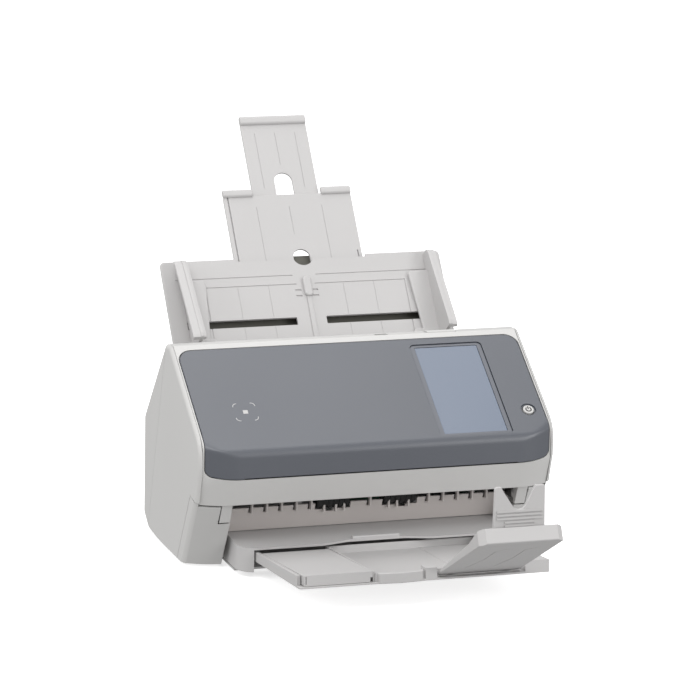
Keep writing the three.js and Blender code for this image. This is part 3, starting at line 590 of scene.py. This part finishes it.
# On the operator panel: X, then the distance along its slope, which is negative down from its top.
DISPLAY = (50.6, 113.0, -109.6, -8.0)
SCREEN = (55.0, 108.8, -107.0, -11.0)
BUTTON = (132.4, -86.6)
BUTTON_RADIUS = 4.6
READER = (-103.9, -71.8)
# On top of the cover: X, then Y.
LATCH_WINDOW = (26.0, 37.0, 15.0, 21.0)
RELEASE = (70.5, 95.0, 14.0, 24.0)

PILLAR_CORNER = (-77.5, 59.7)    # y, z that the cover's swing stays clear of
ARM_BOTTOM = 44.0                # of the cover's arms, which reach down into the pillars
ARM_RADIUS = 6.0
PIN_RADIUS = 2.4


def swing_clearance():
    """Room for the pillars' front corners while the cover swings past them."""
    profile = []
    for x in (PILLAR_X + 10, 134, 138, 142, COVER_HALF + 0.1):
        y, z = PILLAR_CORNER
        reach = math.hypot(y + setback(x) - COVER_PIVOT[0], z - COVER_PIVOT[1])
        profile.append((x, reach + GAP))
    return lathe(profile, COVER_PIVOT, sides=64)


def cover_arm():
    """The arm beside the well that carries the cover on its hinge pin."""
    x0, x1 = PILLAR_X + 0.3, PILLAR_X + 9.1
    strut = [(-69, 54), (-57, 54), (-57, 68), (-66, 78), (-81, 74), (-76.4, 62)]
    face = [(-76.6, 63), (lean_line(ARM_BOTTOM) + 0.2, ARM_BOTTOM), (-64, ARM_BOTTOM), (-64, 63)]
    arm = join(
        block(strut, x0, x1, edge=0.3),
        rod(ARM_RADIUS, x0, x1, COVER_PIVOT, edge=0.3),
        block(face, x0, x1, edge=0.4))
    return cut(arm, rod(PIN_RADIUS, x0 - 1, x1 + 1, COVER_PIVOT))


def cover_shell():
    shell = block(COVER_OUTLINE, -COVER_HALF, COVER_HALF, edge=0.5, stations=ACROSS, bend=round_front)
    core = block(
        shrink(COVER_CORE, COVER_WALL), -COVER_HALF + COVER_WALL, COVER_HALF - COVER_WALL, edge=0,
        stations=ACROSS[3:-3], bend=lambda x, y, z: round_front(x, y, z, COVER_WALL))
    paper_side = [(-74.5, 40), (-49, 40), (-49, 65.2), (61, 119), (61, 124), (-60, 74), (-79.6, 74),
                  (-74.5, 60)]
    middle = block(paper_side, -WELL_HALF, WELL_HALF, edge=0)
    under = [(-66, 40), (70, 40), (70, 124), (-60, 67.6), (-66, 65)]
    ends = block(under, -HALF_WIDTH, HALF_WIDTH, edge=0)
    shell = cut(shell, core, middle, ends, *both(swing_clearance()))
    shell = join(shell, *both(cover_arm()))
    x0, x1, y0, y1 = RELEASE
    u0, u1, v0, v1 = DISPLAY
    return cut(
        shell,
        panel_solid(GAP, -4, WALL + 0.3),
        box(x0 - 0.6, x1 + 0.6, y0 - 0.6, y1 + 0.6, 160, 180),
        box(*LATCH_WINDOW, 168.6, 180),
        box(u0 - 0.3, u1 + 0.3, v0 - 0.3, v1 + 0.3, -20, 10, PANEL),
        rod(BUTTON_RADIUS + 1.5, -20, 10, BUTTON, "Z", PANEL))


def operator_panel():
    panel = ease(panel_solid(0, 0, WALL), 0.6)
    u0, u1, v0, v1 = DISPLAY
    return cut(
        panel,
        block(soften(rectangle(u0, u1, v0, v1), [2, 2, 4, 4]), -8, 10, "Z", PANEL, 0),
        rod(BUTTON_RADIUS + 1.9, -1.2, 10, BUTTON, "Z", PANEL),
        rod(BUTTON_RADIUS + 0.5, -8, 10, BUTTON, "Z", PANEL))


def display_parts():
    u0, u1, v0, v1 = DISPLAY
    s0, s1, t0, t1 = SCREEN
    bezel = block(soften(rectangle(u0 + 0.3, u1 - 0.3, v0 + 0.3, v1 - 0.3), [1.8, 1.8, 3.8, 3.8]),
                  -5, -0.9, "Z", PANEL, 0.4)
    seat = block(soften(rectangle(s0 - 0.2, s1 + 0.2, t0 - 0.2, t1 + 0.2), 1.2), -2.5, 4, "Z", PANEL, 0)
    dress(cut(bezel, seat), "display_bezel")
    dress(block(soften(rectangle(s0, s1, t0, t1), 1.0), -2.4, -1.3, "Z", PANEL, 0.2), "touch_screen")


def ring_outline(radius, width, start, end, steps=20):
    return arc(0, 0, radius, start, end, steps) + arc(0, 0, radius - width, end, start, steps)


def moved(outline, u, v):
    return [(x + u, y + v) for x, y in outline]


def power_key():
    cap = lathe([(-4.6, 4.4), (-0.4, BUTTON_RADIUS), (0.2, BUTTON_RADIUS - 0.25), (0.45, BUTTON_RADIUS - 0.8),
                 (0.45, 3.9), (0.25, 3.6), (0.25, 0.01)], BUTTON, "Z", PANEL, 48)
    dress(cap, "power_button")
    ring = block(moved(ring_outline(2.7, 1.0, 125, 415), *BUTTON), 0.1, 0.4, "Z", PANEL, 0.08)
    bar = box(BUTTON[0] - 0.5, BUTTON[0] + 0.5, BUTTON[1] + 0.2, BUTTON[1] + 3.1, 0.1, 0.4, PANEL, 0.08)
    detail(join(ring, bar), "power_symbol", "power_button", "dark_plastic")


def reader_mark():
    """Four rounded corner lines round a small square, where a card is held against the panel."""
    u, v = READER
    frame_u, frame_v, radius, width = 9.4, 9.6, 3.4, 0.55
    marks = [box(u - 2, u + 2, v - 1.9, v + 1.9, -0.3, 0.12, PANEL, 0.06)]
    for side_u, side_v, start in ((1, 1, 0), (-1, 1, 90), (-1, -1, 180), (1, -1, 270)):
        curve = ring_outline(radius, width, start - 8, start + 98, 8)
        place = (u + side_u * (frame_u - radius), v + side_v * (frame_v - radius))
        marks.append(block(moved(curve, *place), -0.3, 0.12, "Z", PANEL, 0.05))
    detail(join(*marks), "reader_mark", "operator_panel", "light_grey")


def release_tab():
    x0, x1, y0, y1 = RELEASE
    outline = soften([(y0, 165.4), (y1, 165.4), (y1, 171.0), (y0 + 3, 172.6), (y0, 172.4)], [0, 0, 1, 1, 1.2])
    tab = block(outline, x0, x1, edge=0.5)
    grip = box(x0 + 3, x1 - 3, y0 + 3.4, y1 - 2, 171.3, 175)
    dress(cut(tab, grip), "cover_release_tab")


def make_cover():
    dress(cover_shell(), "feeder_cover_shell")
    x0, x1, y0, y1 = LATCH_WINDOW
    # A dark plate at the floor of the small recess on the cover's top: painted shade.
    detail(box(x0, x1, y0, y1, 168.4, 169), "latch_recess_shade", "feeder_cover_shell", "dark_plastic")
    dress(operator_panel(), "operator_panel")
    display_parts()
    power_key()
    reader_mark()
    release_tab()


# ------------------------------------------------------------------ body
SIDE_SEAM = [(-71.4, 61.9), (-54, 64.4), (-16.6, 2.5)]
SIDE_OUTLINE = SIDE_SEAM + [
    (74, 2.5), (89, 13), (89, 97), (26, 170.5), (13, 171.5), (10.2, 169.9), (-69.6, 117.2), (-75, 111.6),
    (-78, 105), (-78.8, 98), (-78.8, 86),
]
SIDE_ROUNDING = [(0, 3.6), (0.2, 2.7), (0.6, 1.8), (1.2, 1.0), (2.0, 0.35), (2.7, 0.05)]


def side_cover():
    outline = soften(SIDE_OUTLINE, [0, 0, 0, 3, 6, 8, 3, 0, 0, 0, 0, 0, 0, 0])
    return block(outline, SIDE_INNER, HALF_WIDTH, rims=(rim(0.3), SIDE_ROUNDING), held=(0, 1, 2))


PILLAR_FRONT = (-77.1, 59.0)     # y, z of the top of a pillar's front
PILLAR_LEAN = 0.59
ARM_SWEEP = 11.9                 # radius that the cover's arm sweeps inside a pillar


def lean_line(z):
    """y of a pillar's front face at a height."""
    return PILLAR_FRONT[0] + PILLAR_LEAN * (PILLAR_FRONT[1] - z)


def fall_back(x, y, z):
    """Moves a point of a pillar's front back along the curve of the plan."""
    return (x, y + setback(x), z) if y < lean_line(z) + 5.5 else (x, y, z)


def front_pillar():
    bottom, top = 2.5, PILLAR_FRONT[1]
    body = [(lean_line(bottom), bottom), (-24, bottom), (-50, top), (lean_line(top), top)]
    stations = [121.5, 124, 127, 130, 133, 136, 139, 142, 145]
    pillar = block(soften(body, [1.5, 0, 0, 1.2]), PILLAR_X, SIDE_INNER + 0.2, rims=(rim(0.8), rim(0)),
                   stations=stations, bend=fall_back)
    wrap_top = 61.1
    wrap = [(lean_line(bottom), bottom), (-17.2, bottom), (-54.4, 63.9), (lean_line(wrap_top), wrap_top)]
    skin = block(wrap, SIDE_INNER, HALF_WIDTH, rims=(rim(0), SIDE_ROUNDING), held=(0, 1, 2), bend=fall_back)
    pillar = join(pillar, skin)
    y, z = COVER_PIVOT               # the notch for the cover's arm is open to the front
    x0, x1 = PILLAR_X - 1, PILLAR_X + 10
    return cut(
        pillar,
        rod(ARM_SWEEP, x0, x1, COVER_PIVOT),
        box(x0, x1, -95, y + 6.5, z, 70),
        box(x0, x1, -95, y, z - 9.5, 70),
        rod(PIN_RADIUS, PILLAR_X, PILLAR_X + 15, COVER_PIVOT))


def pillar_gap_shade():
    """A dark sheet in the gap between a pillar and the feeder cover's arm: painted shade."""
    x0 = PILLAR_X + 9.4
    low = ARM_BOTTOM + 0.6
    outline = [(-69.5, 54), (lean_line(low) + 1.2, low), (-64, low), (-64, 54)]
    return block(outline, x0, x0 + 0.65, edge=0)


def exit_wall():
    """The wall below the lip, with slots, fins, and two windows for the exit rollers."""
    half = WELL_HALF - 0.4
    top = 49.6
    outline = soften([(-49.2, top), (-41, 28.8), (-38.3, 28.8), (-46.4, top)], [0.6, 0, 0, 0.6])
    wall = block(outline, -half, half, edge=0.2)
    tools = []
    for side in (-1, 1):
        low, high = sorted((side * 13.5, side * 43.5))
        tools.append(box(low, high, -60, -34, 44, 60))
        tools.append(box(side * 31 - 3, side * 31 + 3, -60, -34, 42, 46))
    pitch = 12.5
    slots = [x for x in (pitch * i - 86.3 - pitch for i in range(17)) if not 11 < abs(x) < 45]
    tools += [box(x - 0.9, x + 0.9, -60, -34, 45.2, 60) for x in slots]
    wall = cut(wall, *tools)
    fins = [box(x + 1.1, x + 2.6, -50.4, -45.6, 44.6, 53, edge=0.2) for x in slots]
    ribs = [box(side * x - 0.8, side * x + 0.8, -49.4, -43.6, 42, 51.4, edge=0.2)
            for side in (-1, 1) for x in (19, 26, 36)]
    return join(wall, *fins, *ribs)


def roller(node, shaft, spans, radius, centre, grooves=6):
    """A steel shaft with rubber rollers whose tread has fine grooves."""
    low, high = shaft
    profile = [(low, 1.7), (low + 0.3, 2.0)]
    for start, end in spans:
        profile += [(start, 2.0), (start + 0.02, radius - 0.5), (start + 0.5, radius)]
        for i in range(1, grooves):
            x = start + (end - start) * i / grooves
            profile += [(x - 0.5, radius), (x - 0.3, radius - 0.5)]
            profile += [(x + 0.3, radius - 0.5), (x + 0.5, radius)]
        profile += [(end - 0.5, radius), (end - 0.02, radius - 0.5), (end, 2.0)]
    profile += [(high - 0.3, 2.0), (high, 1.7)]
    piece = lathe(profile, centre, sides=36)
    dress(piece, node, more=[MATERIALS["steel"]])
    middle = BODY @ Vector((0, *centre))
    for face in piece.data.polygons:
        reach = math.hypot(face.center.y - middle.y, face.center.z - middle.z)
        face.material_index = 1 if reach < 2.05 * MM else 0


def make_rollers():
    roller("exit_roller", (-60, 110.7), [(-42, -15), (15, 42)], 9, (-42, 53))
    roller("pick_roller", (-60, 110.7), [(-32, -10), (10, 32)], 9, (44, 94.6))
    roller("exit_idler_roller", (-52, 52), [(-41, -16), (16, 41)], 6.6, (-46.5, 70), 4)
    roller("brake_roller", (-38, 38), [(-28, 28)], 7.4, (36.2, 110.4), 10)


def tray_plan(half, front, radius):
    right = arc(half - radius, front + radius, radius, -90, 0)
    left = arc(-half + radius, front + radius, radius, 180, 270)
    return left + right + [(half, -30.5), (-half, -30.5)]


TRAY_FRONT = -82.0


def exit_tray():
    front = TRAY_FRONT
    tray = block(tray_plan(TRAY_HALF, front, 16), 5, 29, "Z", rims=(rim(0.6), rim(0.5)))
    under = block(tray_plan(TRAY_HALF - WALL, front + WALL, 14), 0, 21, "Z", edge=0)
    channel = STACKER_HALF + 1.6
    floor = [(-120, 25), (-78, 25), (-40, 28.2), (-20, 28.2), (-20, 40), (-120, 40)]
    scoop = [(-47, -90), (-47, -82.2), (-24, -75.6), (24, -75.6), (47, -82.2), (47, -90)]
    tray = cut(
        tray,
        under,
        box(-channel, channel, -100, -20, 0, 23.4),
        box(-TRAY_HALF + WALL, TRAY_HALF - WALL, -60, -20, 0, 22),
        block(floor, -130, 130, edge=0),
        block(scoop, 0, 40, "Z", edge=0))
    tab = [(-75.4, 24), (-71.5, 24), (-71.5, 27.4), (-75.4, 27.8)]
    return join(
        tray,
        block(soften(tab, [0, 0, 1.2, 1.2]), -20, 20, edge=0.6),
        box(-24, 24, -75.6, -70, 24, 25.1))


def make_body():
    for side, piece in zip(("right", "left"), both(side_cover())):
        dress(piece, f"side_cover_{side}")
    for side, piece, gap_shade in zip(("right", "left"), both(front_pillar()), both(pillar_gap_shade())):
        dress(piece, f"front_pillar_{side}")
        # A dark sheet in the gap beside the cover's arm: painted shade.
        detail(gap_shade, f"pillar_gap_shade_{side}", f"front_pillar_{side}", "dark_plastic")
    # A dark sheet inside the opening of the right pillar behind the cover's arm: painted shade.
    pocket = box(WELL_HALF + 0.25, WELL_HALF + 0.75, -60, -47, 47.5, 58)
    detail(pocket, "pillar_pocket_shade_right", "front_pillar_right", "dark_plastic")
    # The exit wall wears the lighter grey: painted light against the shade under the lip.
    wall = dress(exit_wall(), "exit_wall", [WALL_LIFTED_GREY])
    for face in wall.data.polygons:
        face.material_index = 1
    dress(exit_tray(), "exit_tray")
    make_rollers()


# ------------------------------------------------------------------ chute
CHUTE_LENGTH = 126.0
SLOT_LOW, SLOT_HIGH = -63.5, -56.5
LAYER_1 = (5.4, 7.4)             # depth of the first extension behind the chute's face
LAYER_2 = (8.0, 10.0)            # of the second extension
LAYER_BACK = (10.5, 12.0)        # of the chute's back cover
LINE_DEPTH = 0.35                # of the fine lines in the extensions


def paper_chute():
    half, length = CHUTE_HALF, CHUTE_LENGTH
    plate = block(soften(rectangle(-half, half, -length, 0), [0, 0, 3.5, 3.5]), 0, WALL, "Y", CHUTE, 0.6)
    flange = soften(rectangle(half - 5, half - 5 + WALL, -length, -4), [0, 0, 1, 1])
    flange = block(flange, 0.8, 11.2, "Y", CHUTE, 0.5)
    rails = [box(57.5, 59.9, 1, 10.2, z0, z1, CHUTE, 0.3) for z0, z1 in ((-46, -2), (-length, -70))]
    rib = soften([(-2, -length), (4, -length), (3, -33), (-1, -33)], [0, 0, 1.6, 1.6])
    rib = block(rib, -1.4, 1, "Y", CHUTE, 0.9)
    bump = block(soften(rectangle(-2.6, 4.6, -38, -19.5), 3), -3.2, 1, "Y", CHUTE, 1.4)
    chute = join(plate, *both(flange), *both(rails[0]), *both(rails[1]), rib, bump)
    slots = [block(soften(rectangle(x0, x1, SLOT_LOW, SLOT_HIGH), 0.8), -5, 8, "Y", CHUTE, 0)
             for x0, x1 in ((-108.6, -12.9), (12.9, 112.1))]
    lines = groove([(10.5, -17.4), (112, -17.4)], 0.8, 0.6)
    lines += groove([(8.5, -25.8), (88, -25.8), (88, -56)], 0.8, 0.6)
    lines += groove([(88, -64), (88, -120)], 0.8, 0.6)
    for x in (33, 60):
        lines += groove([(x, -26), (x, -56)], 0.6, 0.3) + groove([(x, -64.5), (x, -120)], 0.6, 0.3)
    dashes = [box(4.6, 10.0, -2, 0.9, z, z + 1.4, CHUTE) for z in (-37.6, -32.2)]
    tools = [*lines, *dashes]
    edge = corner("chute_extension_1", 1, "X") + 1
    recess = block(soften(rectangle(-edge, edge, -2.6, 3), [1.5, 1.5, 0, 0]), -2, 4, "Y", CHUTE)
    scoop = rod(9, -2, 4, (2, 0.6), "Y", CHUTE)
    return cut(chute, *tools, *[mirrored(tool) for tool in tools], *slots, recess, scoop)


def chute_back():
    """The rear cover of the chute; its hidden front face is painted dark, painted shade for what is seen
    through the slots.
    """
    edge = CHUTE_HALF - 5.3
    outline = soften(rectangle(-edge, edge, -CHUTE_LENGTH, -3), [0, 0, 3, 3])
    tab = block(soften(rectangle(-24, 28, -8, 5.5), [0, 0, 3, 3]), *LAYER_BACK, "Y", CHUTE, 0.4)
    back = join(block(outline, *LAYER_BACK, "Y", CHUTE, 0.4), tab)
    dress(back, "chute_back_cover", [SLOT_SHADE_GREY])
    # Faces turned to the front take the dark grey: painted shade.
    forward = (CHUTE.to_3x3() @ Vector((0, -1, 0))).normalized()
    for face in back.data.polygons:
        face.material_index = 1 if face.normal.dot(forward) > 0.9 else 0


def lip(x0, x1, y0, y1, z0, z1):
    """A rolled lip across the top of an extension."""
    return block(soften(rectangle(y0, y1, z0, z1), (z1 - z0) * 0.42), x0, x1, "X", CHUTE, 1.0)


def arch(x, radius, bottom, spring):
    """Cutter for a finger hole: straight sides up to 'spring', with a round top."""
    outline = [(x - radius, bottom), (x + radius, bottom)] + arc(x, spring, radius, 0, 180, 16)
    return block(outline, 0, 14, "Y", CHUTE, 0)


def extension_1():
    half = corner("chute_extension_1", 1, "X")
    low, shoulder, top = -48, 60.4, 67.4
    face, back = LAYER_1
    plate = block(soften(rectangle(-half, half, low, shoulder + 1.4), 1.5), face, back, "Y", CHUTE, 0.4)
    lips = both(lip(30.5, half, 3.0, back, shoulder, top))
    plate = join(plate, *lips)
    lines = []
    for x in (-29, 0, 29):
        lines += groove([(x, -6 if x else 24), (x, 50)], 0.6, LINE_DEPTH, surface=face)
    lines += groove([(-half + 4, -14), (-half + 4, 60)], 1.1, 1.4, surface=face)
    lines += groove([(half - 3.4, -14), (half - 3.4, 6)], 1.1, 1.4, surface=face)
    return cut(plate, arch(3, 7.4, -12, 2), *lines)


def extension_2():
    half = corner("chute_extension_2", 1, "X")
    low, top = 17, 138.7
    face, back = LAYER_2
    plate = block(soften(rectangle(-half, half, low, top), 1.5), face, back, "Y", CHUTE, 0.4)
    plate = join(plate, lip(-half, half, 5.4, back, top - 8, top))
    lines = []
    for x in (-18, 0, 18):
        lines += groove([(x, 70 if x else 92), (x, 122)], 0.6, LINE_DEPTH, surface=face)
    return cut(plate, arch(0, 8, 62, 76), *lines)


GUIDE_LOW = -84.0
PINION_RADIUS = 4.2


def side_guide(side):
    """The right guide for side 1 and the left one for -1; their racks pass below and above the pinion."""
    inner, low = 108.5 if side > 0 else 105.0, GUIDE_LOW
    profile = soften([(-0.4, low), (-0.4, -3.5), (-10, -3.5), (-14, -8), (-31, low + 4), (-31, low)],
                     [0, 0, 3, 5, 3, 1])
    wall = block(profile, inner, inner + 3, "X", CHUTE, 0.4)
    run = [(-9.4, -3.9), (-13.2, -8.4), (-30.4, low + 4), (-30.4, low)]
    strip_line = run + [(y + 2.6, z - 1.2) for y, z in reversed(run[1:])] + [(-9.4, -6.6)]
    width = 7.5 if side > 0 else 9.5
    strip = block(strip_line, inner - width + 7.5, inner + width, "X", CHUTE, 0.7)
    toe = inner - (22 if side > 0 else 18.2)
    foot = soften(rectangle(toe, inner + 1, low, low + 10), [3, 0, 0, 3])
    foot = block(foot, -4.1, -0.4, "Y", CHUTE, 1.0)
    base = [(inner - 13, low + 5), (inner + 1, low + 5), (inner + 1, -20), (inner - 17.5, -20)]
    base = block(soften(base, [0, 0, 0, 3]), -3.9, -0.4, "Y", CHUTE, 1.2)
    middle = (SLOT_LOW + SLOT_HIGH) / 2
    near = middle - side * (PINION_RADIUS + 0.3)
    far = middle - side * (PINION_RADIUS + 2.4)
    rack = sorted((near, far))
    yoke = sorted((middle, far))
    guide = join(
        wall, strip, foot, base,
        box(inner - 4, inner + 3, -2, 4.6, middle - 2.5, middle + 2.5, CHUTE, 0.3),
        box(inner - 4, inner + 3, 3, 4.6, *yoke, CHUTE),
        box(-14, inner + 2, 3, 4.6, *rack, CHUTE))
    if side > 0:
        return guide
    twin = mirrored(guide)
    bpy.data.objects.remove(guide)
    return twin


def make_chute():
    dress(paper_chute(), "paper_chute")
    dress(extension_1(), "chute_extension_1")
    dress(extension_2(), "chute_extension_2")
    dress(side_guide(1), "side_guide_right")
    dress(side_guide(-1), "side_guide_left")
    chute_back()


# ------------------------------------------------------------------ stacker
STACKER_FRONT = -116.4
STACKER_REAR = 8.0
SIDE_REAR, SIDE_FRONT = 7.6, 10.2  # height of the stacker's sides at the tray and at the front


def wedge(x0, x1, y0, y1, bottom, rear, front, place=STACKER, edge=0.5, radii=0.0):
    outline = [(y0, bottom), (y1, bottom), (y1, rear), (y0, front)]
    return block(soften(outline, radii) if radii else outline, x0, x1, "X", place, edge)


def stacker_frame():
    front, rear = STACKER_FRONT, STACKER_REAR
    floor = soften(rectangle(-STACKER_HALF, STACKER_HALF, front, rear), [3, 3, 0, 0])
    plate = block(floor, 0, 1.6, "Z", STACKER, 0.4)
    centre_lip = [(-40.6, front + 6), (-38, front - 0.8), (-20, front - 3), (-2, front - 0.8), (0, front + 6)]
    parts = [
        wedge(-STACKER_HALF, -STACKER_HALF + 3.4, front + 8, rear, 0, SIDE_REAR, 9.6),
        wedge(-42.2, -40.6, front + 3, rear, 0, SIDE_REAR, 9.6, edge=0.3),
        box(-41, 82.6, rear - 2.4, rear, 0, SIDE_REAR, STACKER, 0.4),
        block(soften(centre_lip, [0, 3, 12, 3, 0]), 0, 8.4, "Z", STACKER, 0.8),
        block([(front + 2, 1), (front + 20, 1), (front + 2, 8.4)], -40.6, 0, "X", STACKER, 0),
        box(0, 9.4, front, front + 12, 0, 10.4, STACKER, 0.6),
        box(36, 81.6, front + 16, rear, 0, 2, STACKER, 0.3),
        wedge(82.2, STACKER_HALF, front, rear, 0, SIDE_REAR, SIDE_FRONT, edge=0.7),
    ]
    return join(plate, *parts)


def left_extension():
    front = STACKER_FRONT + 1
    body = wedge(-98.6, -42.8, front, -4, 1.9, SIDE_REAR, SIDE_FRONT, edge=0.7)
    pocket = wedge(-96, -45.4, front + 2.5, 0, 0, SIDE_REAR - 2, SIDE_FRONT - 2, edge=0)
    slit = box(-97.4, -96.6, front - 1, front + 1.2, 3.2, 9.4, STACKER)
    notch = box(-45, -40, front - 1, front + 5, 0, 5.6, STACKER)
    return cut(body, pocket, slit, notch)


FLAP_REACH = 108.0


def stacker_flap():
    x0, x1 = FLAP_X
    reach = FLAP_REACH
    profile = [(-reach, -1.2), (1.4, -1.2), (1.4, 0.9), (-reach + 28, 6), (-reach + 2, 11), (-reach, 11)]
    body = block(soften(profile, [1.2, 0.4, 0.4, 10, 0.6, 0.6]), x0, x1, "X", FLAP, 0.7)
    pocket = wedge(x0 + 2.6, x1 - 2.6, -reach + 2.4, -4, 0.6, 6, 20, FLAP, 0)
    slots = [box(x - 0.6, x + 6.6, -3.4, 4, -4, 4, FLAP) for x in (x0 + 8, x1 - 14)]
    lines = []
    for x in (x0 + 22, x0 + 46):
        lines += groove([(x - 6, -20), (x, -50), (x, -78), (x + 9, -86)], 0.6, LINE_DEPTH, "Z", FLAP, -1.2)
    corners = [block([(x, -reach - 1), (x + way * 6, -reach - 1), (x, -reach + 5)], -3, 12, "Z", FLAP, 0)
               for x, way in ((x1 + 0.1, -1), (x0 - 0.1, 1))]
    return cut(body, pocket, *slots, *lines, *corners)


STOPPER_ARM = 97.0               # from the flap's hinge to the stopper's
STOPPER_RIBS = ((25.6, 2.6), (22.8, 2.6), (20, 2.6), (17.2, 9), (14.4, 9))  # height, and inset at the ends


def stopper_plate():
    x0, x1, height = 24.0, 66.0, 45.6
    reach, rise = -STOPPER_ARM * math.cos(FLAP_RAISE), STOPPER_ARM * math.sin(FLAP_RAISE)
    foot, top = rise + 3.4, rise + height
    outline = soften([(x0, foot), (x1, foot), (x1 - 0.8, top), (x0 + 0.8, top)], [0, 0, 2, 2])
    plate = block(outline, reach - 1.4, reach + 1.4, "Y", STOPPER, 0.6)
    notch = [(x0 + 5, top + 1), (x0 + 8.5, top - 5), (x0 + 17.5, top - 18.5), (x0 + 24.5, top - 18.5),
             (x0 + 30.5, top - 7), (x0 + 34, top + 1)]
    notch = block(soften(notch, [0, 6, 7, 7, 6, 0]), reach - 5, reach + 5, "Y", STOPPER, 0)
    hub = rod(1.6, x0, x1, (reach, rise + 3.6), "X", STOPPER, 0.3)
    ribs = []
    for z, inset in STOPPER_RIBS:
        section = rectangle(reach - 2.5, reach - 1, rise + z, rise + z + 1.6)
        ribs.append(block(section, x0 + inset, x1 - inset, "X", STOPPER, 0.4))
    return cut(join(plate, hub, *ribs), notch)


def make_stacker():
    dress(stacker_frame(), "stacker_frame")
    dress(left_extension(), "stacker_left_extension")
    dress(stacker_flap(), "stacker_flap")
    dress(stopper_plate(), "stopper_plate")


# ------------------------------------------------------------------ the rest of the frame
def dress_frame():
    """Every CAD node takes the finish of its slot, and eased edges."""
    for name, node in NODES.items():
        node.data.materials.clear()
        node.data.materials.append(MATERIALS[SLOT_OF[name]])
        node.modifiers.new("weld", "WELD").merge_threshold = 0.00001
        bevel = node.modifiers.new("ease", "BEVEL")
        bevel.width = 0.3 * MM
        bevel.segments = 2
        bevel.limit_method = "ANGLE"
        bevel.angle_limit = math.radians(40)


make_camera()
make_studio()
dress_frame()
make_cover()
make_body()
make_chute()
make_stacker()
